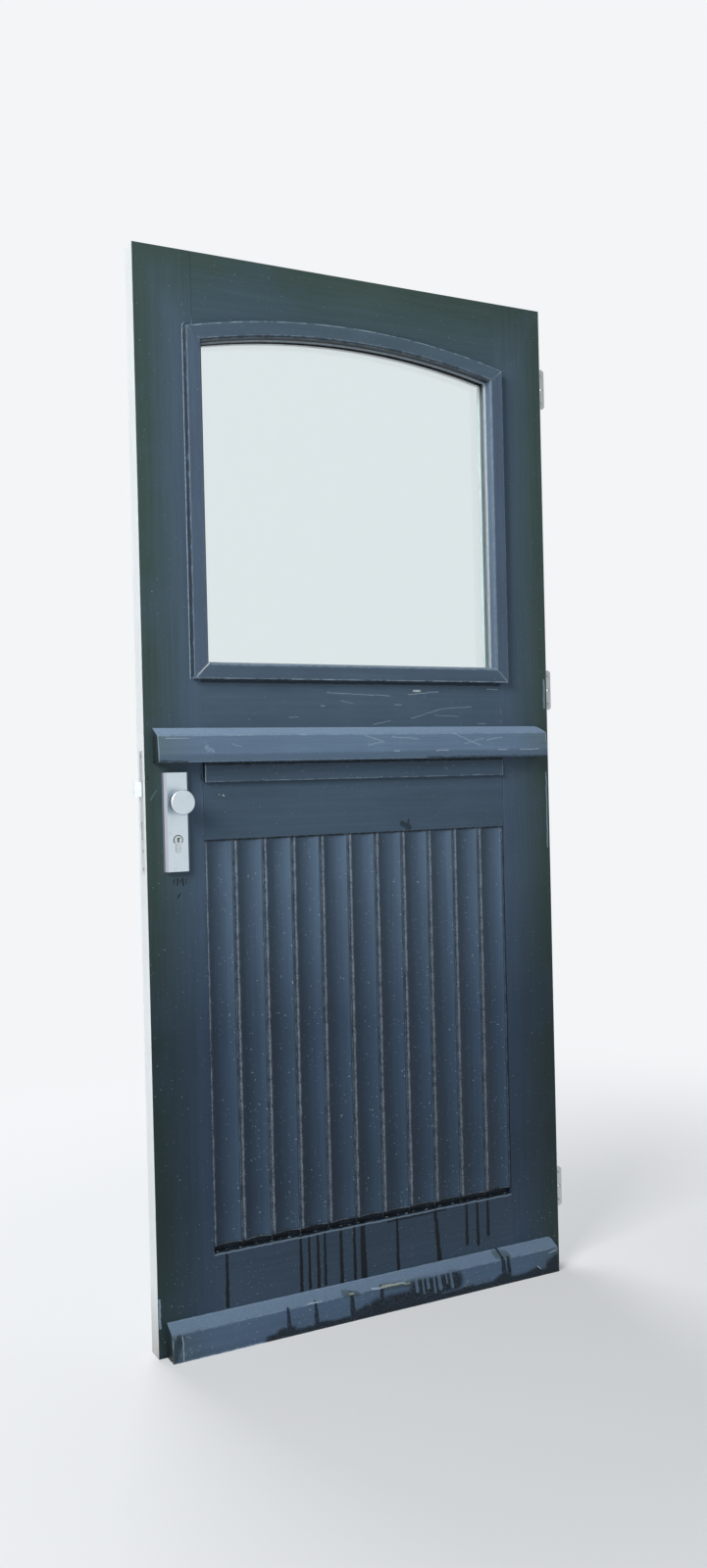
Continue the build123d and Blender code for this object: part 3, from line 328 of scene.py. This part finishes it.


# the colours of what marks the paint, some also used for painted shadows, then where it lies on
# the stiles and the rails
dirt_and_shadow, wet_and_shadow, rub, score, bare = "#1b242c", "#10161c", "#8fa3b5", "#b4c5d3", "#dfe4e0"
drips_below_plate = [(54, 900, 54, 908, 3), (60, 897, 61, 909, 4), (66, 901, 67, 906, 3),
                     (71, 896, 71, 909, 4), (77, 899, 78, 907, 3), (60, 873, 66, 880, 4)]
stile_dirt = [(4, 0, 60, 4, 16), (116.4, 984, 116.4, 1090, 2), (116.4, 1985, 116.4, 2112, 2),
              (808.1, 984, 808.1, 1090, 2), (6, 1100, 7, 1106, 5), (114, 1098, 114, 1106, 5),
              (870, 0, 925, 10, 18)]
rubbed_arrises = [(4, 60, 4, 112, 6), (923, 1238, 923, 1300, 6), (924, 930, 924, 1095, 4),
                  (117, 1320, 117, 1990, 1.5)]
stile_marks = (
    (rub, 0.25, [(11, 1062, 16, 1070, 4), (16, 1070, 22, 1079, 4)]),
    (wet_and_shadow, 1.1, drips_below_plate),
    (dirt_and_shadow, 0.75, stile_dirt),
    (rub, 0.9, rubbed_arrises),
    (rub, 0.35, [(115.2, 990, 115.2, 1082, 1.2), (809.3, 990, 809.3, 1082, 1.2)]))
upright = painted_timber("brushed alkyd on the stiles", "z", "#52667a", "#3d504c", marks=stile_marks)
for name in ("lock_stile", "hinge_stile"):
    dress(name, upright)

panel_slot, run_spread = 178, 0.4
rail_runs = [(x, panel_slot, x + lean, foot, width + 1.2, run_spread) for x, lean, foot, width in (
    (142, 0, 72, 6), (300, 1, 68, 6), (319, 0, 72, 5), (338, 1, 70, 6), (354, 0, 72, 5),
    (390, 1, 68, 7), (421, 0, 70, 6), (440, 2, 66, 13), (521, 1, 70, 6), (613, 9, 68, 9),
    (691, 0, 90, 6), (718, 1, 85, 6), (745, 0, 100, 6))]
window_scores = [
    (387, 1268, 533, 1262, 3), (577, 1265, 650, 1272, 4), (545, 1244, 560, 1244, 3),
    (583, 1215, 660, 1236, 2.5), (660, 1236, 733, 1240, 2.5), (493, 1203, 533, 1210, 3),
    (373, 1241, 383, 1241, 3), (303, 1218, 323, 1218, 2.5), (747, 1204, 767, 1204, 3),
    (773, 1278, 800, 1278, 4), (418, 1252, 447, 1246, 2), (640, 1222, 700, 1219, 2),
    (808, 1202, 808, 1285, 2.2)]
rail_paints = {
    "bottom_rail": ("#57697b", "#46574f", (
        (wet_and_shadow, 1.4, rail_runs), (rub, 0.6, [(119, 176.8, 805, 176.8, 5)]),
        # a dark line of painted shadow along the rail's top at the slot, then a short dark mark below it
        (wet_and_shadow, 1.0, [(117, 181, 807, 181, 5), (500, 172, 640, 173, 6)]))),
    "window_rail": ("#516577", "#46574f", (
        # a band of painted shadow under the sill moulding
        (dirt_and_shadow, 0.9, [(99, 1288, 821, 1288, 8)]),
        (score, 0.62, [mark[:4] + (0.6 * mark[4],) for mark in window_scores]),
        (bare, 1.0, [(590, 1273, 605, 1273, 5)]))),
    "lock_rail": ("#4f6375", "#45564f", (
        (dirt_and_shadow, 0.85, [(556, 996, 572, 988, 16), (572, 1003, 566, 985, 8)]),
        (bare, 0.9, [(157, 1067, 160, 1065, 2.6), (149, 1068, 150, 1068, 2)]))),
    "top_rail": ("#4d6275", "#3e514c", ()),
}
for name, (front, tinge, marks) in rail_paints.items():
    title = f"brushed alkyd on the {name.replace('_', ' ')}"
    dress(name, painted_timber(title, "x", front, tinge, marks=marks))

# Panel: eleven hollow-fronted softwood boards, tongued together in vee joints and brushed with
# the same paint, which is rubbed through to pale specks along the joints, with painted light and
# shade across each hollow and at each joint
# painted shadow over the boards' feet down in the slot, and a band of painted shadow under the lock rail
board_painted_shadows = ((wet_and_shadow, 1.0, [(117, 183, 807, 183, 34), (117, 981, 807, 981, 10)]),)
board_paint = painted_timber("brushed alkyd on hollow boards", "z", "#566a7e", "#4a5c5e",
                             0.34, 0.5, board_painted_shadows, flanks=True)
for number in range(1, 12):
    dress(f"panel_board_{number:02d}", board_paint)

# Cover batten: a flat strip of painted softwood, pinned over the lock rail below the middle
# drip, with painted shadow along its top under the drip, and rubbed pale at its lock-side end
batten_marks = ((wet_and_shadow, 0.95, [(118, 1129, 805, 1129, 12)]), (score, 0.8, [(119.5, 1086, 119.5, 1124, 2.2)]))
dress("cover_batten", painted_timber("brushed alkyd on the batten", "x", "#4f6375", "#43544f",
                                     worn=0.35, marks=batten_marks))

# Window ring and glazing beads: moulded softwood, mitred and pinned, a fresher coat than the
# leaf's, rubbed pale along the arrises, with the upper mitres closed and painted over
closed_mitres = ("#4b5c6e", 0.9, [(97.5, 1972, 130, 1941.4, 5), (822, 1972, 789.5, 1941.4, 5)])
jamb_marks = (closed_mitres, (dirt_and_shadow, 0.9, [(98.9, 1296, 98.9, 1968, 2)]),
              (rub, 0.45, [(101, 1296, 101, 1968, 1.5)]))
sill_marks = (closed_mitres, (rub, 0.8, [(132, 1321, 790, 1321, 4)]))
ring_upright = painted_timber("fresher alkyd on upright mouldings", "z", "#54667a", "#50626a",
                              0.38, 0.30, jamb_marks)
ring_level = painted_timber("fresher alkyd on level mouldings", "x", "#526577", "#4e6169",
                            0.38, 1.0, sill_marks)
for side, finish in (("lock_side", ring_upright), ("hinge_side", ring_upright),
                     ("sill", ring_level), ("arch", ring_level)):
    dress(f"window_{side}_moulding", finish)
    dress(f"glazing_{side}_bead", finish)


# Filler in the gaping mitre: at the ring's lower lock-side corner the joint has opened and shows
# the old white filler, squeezed in as a wedge and sunk a little below the paint
def opened():
    """apply the new mesh where it stands and open it for editing by its vertices"""
    bpy.ops.object.transform_apply(location=True, rotation=True, scale=True)
    bpy.ops.object.mode_set(mode="EDIT")
    bpy.ops.mesh.select_mode(type="VERT")


def picked(test):
    """select only the vertices of the mesh in edit mode whose place passes a test"""
    bpy.ops.mesh.select_all(action="DESELECT")
    inner = bmesh.from_edit_mesh(bpy.context.object.data)
    for vertex in inner.verts:
        vertex.select = test(vertex.co)
    inner.select_flush_mode()
    bmesh.update_edit_mesh(bpy.context.object.data)


def finished(name, material):
    """close the piece in hand: outward faces, applied place, its own finish, riding on the leaf"""
    bpy.ops.mesh.select_all(action="SELECT")
    bpy.ops.mesh.normals_make_consistent(inside=False)
    bpy.ops.object.mode_set(mode="OBJECT")
    bpy.ops.object.transform_apply(location=True, rotation=True, scale=True)
    piece = bpy.context.object
    piece.name = name
    piece.data.name = name
    piece.data.materials.append(material)
    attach(piece, "leaf")
    return piece


def crumbly(name, colour, other, scale, rough):
    """a matt finish for filler, mastic, dirt and painted shadow: two tones in lumps, with a lumpy skin"""
    material, tree, surface = new_material(name)
    place = add(tree, "TexCoord", output="Object")
    lump = add(tree, "TexNoise", {0: place, "Scale": scale, "Detail": 5.0, "Roughness": 0.65})
    share = add(tree, "MapRange", {0: lump, "From Min": 0.38, "From Max": 0.66})
    tone = add(tree, "Mix", {0: share, 6: linear(colour), 7: linear(other)}, 2, data_type="RGBA")
    tree.links.new(tone, surface.inputs["Base Color"])
    surface.inputs["Roughness"].default_value = rough
    relief = add(tree, "Bump", {"Height": lump, "Strength": 0.4, "Distance": 0.0004})
    tree.links.new(relief, surface.inputs["Normal"])
    return material


mitre_x, mitre_z, mitre_angle, filler_front = -0.8570, 1.1442, 44, -0.0652
wedge_length, wedge_depth, wedge_width, wedge_taper = 0.0325, 0.012, 0.0027, 0.25
bpy.ops.object.select_all(action="DESELECT")
bpy.ops.mesh.primitive_cube_add(size=1, location=(0, 0, 0))
opened()
bpy.ops.transform.translate(value=(0.5, 0, 0))
bpy.ops.transform.resize(value=(wedge_length, wedge_depth, wedge_width), center_override=(0, 0, 0))
picked(lambda place: place.x < wedge_length / 2)
bpy.ops.transform.resize(value=(1, 1, wedge_taper))
bpy.ops.mesh.select_all(action="SELECT")
bpy.ops.mesh.subdivide(number_cuts=3)
bpy.ops.transform.vertex_random(offset=0.00035, uniform=0.0, normal=0.0, seed=4)
bpy.ops.transform.rotate(value=math.radians(mitre_angle), orient_axis="Y", center_override=(0, 0, 0))
bpy.ops.transform.translate(value=(mitre_x, filler_front + wedge_depth / 2, mitre_z))
# dry and chalky, white where it is clean and grey where it holds dust
white_filler = crumbly("old white wood filler", "#e8ebe8", "#bfc6c6", 700, 0.7)
finished("mitre_filler", white_filler)

# Mastic line: a thin pale bead run down the outer side of the lock-side moulding, where it meets
# the stile, thumbed flat and turned over the ring's upper corner
bead_x, bead_y, bead_low, bead_high, bead_radius, bead_cuts = -0.8671, -0.0498, 1.1370, 1.8140, 0.0013, 40
bead_length = bead_high - bead_low
bpy.ops.object.select_all(action="DESELECT")
bpy.ops.mesh.primitive_cylinder_add(vertices=12, radius=bead_radius, depth=bead_length, end_fill_type="NGON",
                                    location=(bead_x, bead_y, (bead_low + bead_high) / 2))
opened()
picked(lambda place: place.z > bead_high - 0.001)
for step in range(5):
    turn = (0.0010 + 0.0004 * step, 0, 0.0026 - 0.0005 * step)
    bpy.ops.mesh.extrude_region_move(TRANSFORM_OT_translate={"value": turn})
for cut in range(1, bead_cuts):
    bpy.ops.mesh.select_all(action="SELECT")
    height = bead_low + cut * bead_length / bead_cuts
    bpy.ops.mesh.bisect(plane_co=(0, 0, height), plane_no=(0, 0, 1))
bpy.ops.mesh.select_all(action="SELECT")
bpy.ops.transform.vertex_random(offset=0.00022, uniform=0.0, normal=0.0, seed=9)
# weathered to a pale blue-grey with darker, dirtier lumps
pale_mastic = crumbly("weathered pale mastic", "#93a5b4", "#5b6b78", 320, 0.6)
finished("jamb_mastic_line", pale_mastic)

# Glazing silicone: a thin fillet in the corner between the outer pane and the mouldings, tooled
# with a finger round the sill, both jambs and the arch
pane_left, pane_right, pane_low, glass_face = -0.8340, -0.1745, 1.1675, -0.0420
arch_radius, arch_middle, arch_centre, arch_steps = 1.50376, -0.50425, 0.31924, 32
fillet_width, fillet_rise, blank_height = 0.0032, 0.0034, 0.3


def arch_height(x):
    """how high the arch's inner edge stands at a place across the window"""
    return arch_centre + math.sqrt(arch_radius**2 - (x - arch_middle)**2)


def on_ring(place):
    """whether a place lies on the mouldings' inner edge"""
    sides = min(abs(place.x - pane_left), abs(place.x - pane_right), abs(place.z - pane_low))
    return min(sides, abs(place.z - arch_height(place.x))) < 0.0004


bpy.ops.object.select_all(action="DESELECT")
bpy.ops.mesh.primitive_grid_add(x_subdivisions=arch_steps, y_subdivisions=1, size=1, location=(0, 0, 0))
opened()
bpy.ops.transform.rotate(value=math.radians(90), orient_axis="X", center_override=(0, 0, 0))
bpy.ops.transform.resize(value=(pane_right - pane_left, 1, blank_height), center_override=(0, 0, 0))
blank_place = ((pane_left + pane_right) / 2, glass_face, pane_low + blank_height / 2)
bpy.ops.transform.translate(value=blank_place)
for step in range(arch_steps + 1):
    x = pane_left + (pane_right - pane_left) * step / arch_steps
    picked(lambda place: abs(place.x - x) < 0.001 and place.z > pane_low + blank_height / 2)
    bpy.ops.transform.translate(value=(0, 0, arch_height(x) - pane_low - blank_height))
bpy.ops.mesh.select_all(action="SELECT")
bpy.ops.mesh.inset(thickness=fillet_width, depth=0)
bpy.ops.mesh.delete(type="FACE")
picked(on_ring)
bpy.ops.mesh.extrude_edges_move(TRANSFORM_OT_translate={"value": (0, -fillet_rise, 0)})
picked(lambda place: place.y < glass_face - 0.001 or not on_ring(place))
bpy.ops.mesh.bridge_edge_loops()
bpy.ops.mesh.select_all(action="SELECT")
bpy.ops.mesh.remove_doubles(threshold=0.00005)
# an even grey with a soft shine
grey_silicone = crumbly("grey glazing silicone", "#96a2aa", "#838f97", 90, 0.45)
finished("glazing_silicone", grey_silicone)

# Crumbs in the slot: flaked paint, leaf mould and moss lie on the bottom rail's rebate where the
# boards stop short of it, in a heap near the middle
crumb_count, crumb_pitch, slot_y, slot_floor = 26, 0.0263, -0.0462, 0.0262
bpy.ops.object.select_all(action="DESELECT")
bpy.ops.mesh.primitive_ico_sphere_add(subdivisions=2, radius=0.0016, location=(0, 0, 0))
opened()
bpy.ops.mesh.delete(type="VERT")
for count in range(crumb_count):
    along = 0.125 + crumb_pitch * count + 0.008 * math.sin(5.1 * count)
    size = 0.0010 + 0.0007 * math.sin(3.3 * count)
    in_heap = 0.50 < along < 0.66
    bpy.ops.mesh.primitive_ico_sphere_add(
        subdivisions=2, radius=0.0011 + size * (1.1 if in_heap else 0.6),
        location=(lock_edge + along, slot_y + 0.0022 * math.sin(2.7 * count), slot_floor),
        rotation=(count, 2 * count, 0))
    bpy.ops.transform.resize(value=(1.5, 1.0, 0.6))
bpy.ops.mesh.select_all(action="SELECT")
bpy.ops.transform.vertex_random(offset=0.0003, uniform=0.0, normal=0.0, seed=2)
# dull near-black green, with the grey of flaked paint in it
moss = crumbly("flaked paint and moss", "#2b2f27", "#8c949a", 260, 0.9)
finished("slot_crumbs", moss)

# Drip mouldings: planed softwood, pinned on with square-cut ends. Their paint is paler than the
# leaf's, and paler still on their tops, partly chalky from rain and partly painted sky light on the
# faces that turn upwards; scratches and worn paint follow the crease, and the lower one is wet and
# dirty at its foot.
middle_scores = [
    (33, 1178, 80, 1177, 3), (457, 1180, 500, 1167, 2.5), (463, 1160, 500, 1167, 2.5),
    (520, 1176, 583, 1172, 3), (667, 1183, 733, 1157, 3), (693, 1160, 743, 1172, 2.5),
    (750, 1168, 790, 1174, 3), (522, 1147, 535, 1147, 4), (623, 1147, 652, 1147, 4),
    (777, 1147, 800, 1147, 4), (833, 1147, 883, 1147, 4), (18.9, 1134, 18.9, 1182, 2),
    (150, 1183, 210, 1182, 2), (300, 1184, 330, 1183, 2), (166, 1166, 186, 1160, 2)]
middle_marks = (
    ("#54687b", 0.9, [(17, 1137, 906, 1137, 26)]),
    (dirt_and_shadow, 0.8, [(17, 1133, 75, 1131, 9), (600, 1132, 900, 1131, 8)]),
    # the top slope lighter, partly chalky from rain and partly painted sky light
    ("#98b0ca", 0.95, [(17, 1192, 906, 1192, 26)]),
    ("#8ba0b6", 0.7, [(115, 1159, 119, 1155, 12), (124, 1155, 127, 1152, 9)]),
    (score, 0.70, [mark[:4] + (0.65 * mark[4],) for mark in middle_scores]))
crease, foot = 52, 6
bottom_wet = [(x, crease, x, foot, width, 0.9) for x, width in (
    (257, 8), (317, 8), (398, 10), (466, 10), (763, 12), (776, 9))]
bottom_wet += [(548, 30, 640, 32, 52), (763, 66, 764, 50, 7), (885, 16, 905, 24, 40),
               (215, 1, 905, 4, 28), (452, 14, 548, 16, 52)]
bottom_wet += [(x, foot, x + 21, 9 + 5 * math.sin(1.7 * x), 30 + 9 * math.sin(3.1 * x))
               for x in range(240, 900, 84)]
bottom_moss = [(470, 50, 560, 46, 16), (383, 54, 410, 50, 14), (752, 60, 780, 56, 16)]
bottom_streaks = [(x, top, x + 2, top - drop, width, 0.2) for x, top, drop, width in (
    (547, 49, 20, 9), (562, 51, 29, 5), (574, 48, 18, 8), (589, 52, 33, 6),
    (602, 49, 25, 10), (619, 50, 19, 5), (631, 49, 28, 8))]
bottom_scores = [(38, 3, 38, 47, 2.5), (445, 52, 520, 51, 4), (849, 21, 857, 15, 3),
                 (883, 44, 902, 46, 3), (300, 52, 330, 52, 2.5)]
bottom_marks = (
    # the top slope lighter, partly chalky from rain and partly painted sky light
    ("#7b91a8", 0.95, [(17, 60, 906, 60, 24)]),
    ("#33402f", 0.6, bottom_moss),
    (dirt_and_shadow, 0.8, [(18, 8, 34, 44, 22)]),
    ("#171f27", 1.15, bottom_wet),
    ("#62788e", 0.9, bottom_streaks),
    (score, 0.8, bottom_scores),
    ("#a9ad98", 0.9, [(468, 53, 508, 51, 4), (518, 49, 532, 48, 3), (395, 52, 402, 52, 4)]))
for name, marks in (("middle_drip", middle_marks), ("bottom_drip", bottom_marks)):
    title = f"chalky_and_skylit alkyd on the {name.replace('_', ' ')}"
    dress(name, painted_timber(title, "x", "#7088a1", "#677c86", 0.42, 0.8, marks))

# Double glazing: two panes of float glass on an aluminium spacer, bedded on black tape. The
# glass is clear, with a trace of green, and the black tape is grey with dust.
float_glass, tree, surface = new_material("float glass")
glass_tint = linear("#f3f7f7")
surface.inputs["Base Color"].default_value = glass_tint
surface.inputs["Transmission Weight"].default_value = 1.0
surface.inputs["Roughness"].default_value = 0.0
surface.inputs["IOR"].default_value = 1.52
# lamps shine through the panes instead of casting their shadow
shadow = add(tree, "LightPath", output="Is Shadow Ray")
through = add(tree, "BsdfTransparent", {"Color": glass_tint})
shown = add(tree, "MixShader", {0: shadow, 1: surface.outputs[0], 2: through})
tree.links.new(shown, tree.nodes["Material Output"].inputs["Surface"])
for name in ("outer_pane", "inner_pane"):
    dress(name, float_glass)


def metal(name, colour, rough, streak, dull, shelter_reach=0.0025, shaded_sides=None):
    """a metal finish that varies along fine draw lines, with dull handled patches"""
    material, tree, surface = new_material(name)
    place = add(tree, "TexCoord", output="Object")
    drawn = add(tree, "Mapping", {0: place, "Scale": streak})
    line = add(tree, "TexNoise", {0: drawn, "Scale": 1.0, "Detail": 3.0})
    patch = add(tree, "TexNoise", {0: place, "Scale": 70.0, "Detail": 3.0})
    handled = add(tree, "MapRange", {0: patch, "From Min": 0.55, "From Max": 0.9})
    tone = add(tree, "Mix", {0: handled, 6: linear(colour), 7: linear(dull)}, 2, data_type="RGBA")
    # painted shade, with some grime, where a corner or a gap shelters it, and the side flats of an
    # extrusion that face the lock side painted darker as shade
    shelter = add(tree, "AmbientOcclusion", {"Distance": shelter_reach}, "AO", samples=6)
    grime_and_shade = add(tree, "MapRange", {0: shelter, "From Min": 0.72, "From Max": 0.35, "To Max": 0.9})
    tone = add(tree, "Mix", {0: grime_and_shade, 6: tone, 7: linear("#2a2c2d")}, 2, data_type="RGBA")
    if shaded_sides:
        normal = add(tree, "TexCoord", output="Normal")
        sidewards = add(tree, "SeparateXYZ", {0: normal}, "X")
        sides = add(tree, "MapRange", {0: sidewards, "From Min": -0.30, "From Max": -0.75})
        tone = add(tree, "Mix", {0: sides, 6: tone, 7: linear(shaded_sides)}, 2, data_type="RGBA")
    tree.links.new(tone, surface.inputs["Base Color"])
    surface.inputs["Metallic"].default_value = 1.0
    polish = add(tree, "MapRange", {0: line, "From Min": 0.3, "From Max": 0.7,
                                    "To Min": rough - 0.07, "To Max": rough + 0.09})
    tree.links.new(polish, surface.inputs["Roughness"])
    relief = add(tree, "Bump", {"Height": line, "Strength": 0.12, "Distance": 0.0001})
    tree.links.new(relief, surface.inputs["Normal"])
    return material


even_grain = (1500, 1500, 1500)
dress("glazing_spacer", metal("mill aluminium spacer", "#b9bcc0", 0.35, even_grain, "#a3a6a9"))
tape, tree, surface = new_material("glazing tape")
surface.inputs["Roughness"].default_value = 0.7
place = add(tree, "TexCoord", output="Object")
dust = add(tree, "TexNoise", {0: place, "Scale": 300.0, "Detail": 3.0})
dusty = add(tree, "Mix", {0: dust, 6: linear("#18191a"), 7: linear("#34363a")}, 2, data_type="RGBA")
tree.links.new(dusty, surface.inputs["Base Color"])
dress("glazing_tape", tape)

# Hinges: rolled and folded leaves of zinc-plated steel, screwed into their beds and turning on
# pins of the same. The plating gives them a cool grey sheen with duller patches.
zinc = metal("zinc plated steel", "#c3c7c8", 0.36, even_grain, "#a8a9a4")
for name in ("bottom_hinge_leaf", "bottom_hinge_plate", "middle_hinge_leaf", "middle_hinge_plate",
             "top_hinge_leaf", "top_hinge_plate", "hinge_pins", "hinge_screws"):
    dress(name, zinc)

# Mortice lock: a zinc-plated case and screws, a faceplate and bolts of bright drawn steel, paler
# and finely lined upwards, and a profile cylinder in satin nickel, pale without lines
upright_draw = (2500, 2500, 60)
bright = metal("bright drawn steel", "#d9dfe3", 0.32, upright_draw, "#c2c8cb")
nickel = metal("satin nickel", "#d3dcdf", 0.30, even_grain, "#aeb2b2")
for name in ("faceplate_screws", "cylinder_screw", "lock_case", "lock_cover", "lock_follower",
             "lock_spindle", "plate_screws"):
    dress(name, zinc)
for name in ("lock_faceplate", "latch_bolt", "deadbolt"):
    dress(name, bright)
for name in ("cylinder_body", "cylinder_cam", "outside_plug", "inside_plug"):
    dress(name, nickel)

# Furniture: two backplates, a knob and a lever, all in satin aluminium, the palest of the metals,
# with the plates' side flats that face the lock side painted darker as shade
silver = metal("satin anodised aluminium", "#dce8ef", 0.36, upright_draw, "#cfdae0", 0.005, "#c0c3cf")
for name in ("outside_backplate", "inside_backplate", "outside_knob", "inside_lever"):
    dress(name, silver)

# Shadow ring: a thin dark ring laid in the gap between the cylinder's round head and its hole in
# the outside backplate, as painted shadow in that gap
cylinder_x, cylinder_z, plate_front = -0.904, 0.829, -0.0614
ring_radius, ring_thickness, ring_gap_drop = 0.0088, 0.0008, 0.0062
bpy.ops.object.select_all(action="DESELECT")
bpy.ops.mesh.primitive_torus_add(major_radius=ring_radius, minor_radius=ring_thickness,
                                 major_segments=48, minor_segments=8, rotation=(math.radians(90), 0, 0),
                                 location=(cylinder_x, plate_front, cylinder_z))
opened()
picked(lambda place: place.z < cylinder_z - ring_gap_drop)
bpy.ops.mesh.delete(type="VERT")
bpy.ops.mesh.select_all(action="SELECT")
bpy.ops.mesh.fill_holes(sides=0)
# near black that hardly shines, as painted shadow in the ring's gap and in the keyway
black_shadow = crumbly("hand grime", "#17191a", "#2c2f30", 900, 0.6)
finished("cylinder_shadow_ring", black_shadow)

# Key slot: the mouth of the keyway, a stepped slot milled into the outside plug's face, drawn as
# a thin dark sheet on that face as painted shadow in the slot; it turns with the plug
slot_width, slot_height, slot_head, slot_step, slot_depth = 0.0028, 0.0062, 0.0024, 0.0019, 0.0001
plug_face = -0.06153
bpy.ops.object.select_all(action="DESELECT")
bpy.ops.mesh.primitive_plane_add(size=1, location=(0, 0, 0), rotation=(math.radians(90), 0, 0))
opened()
bpy.ops.transform.resize(value=(slot_width, 1, slot_height), center_override=(0, 0, 0))
picked(lambda place: place.z > 0)
bpy.ops.mesh.extrude_region_move(TRANSFORM_OT_translate={"value": (0, 0, slot_head)})
picked(lambda place: place.x > 0 and place.z > 0.002)
bpy.ops.mesh.extrude_region_move(TRANSFORM_OT_translate={"value": (slot_step, 0, 0)})
bpy.ops.mesh.select_all(action="SELECT")
bpy.ops.mesh.extrude_region_move(TRANSFORM_OT_translate={"value": (0, -slot_depth, 0)})
bpy.ops.mesh.select_all(action="SELECT")
bpy.ops.transform.translate(value=(cylinder_x, plug_face, cylinder_z - 0.0015))
key_slot_shadow = finished("key_slot_shadow", black_shadow)
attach(key_slot_shadow, "outside_barrel")
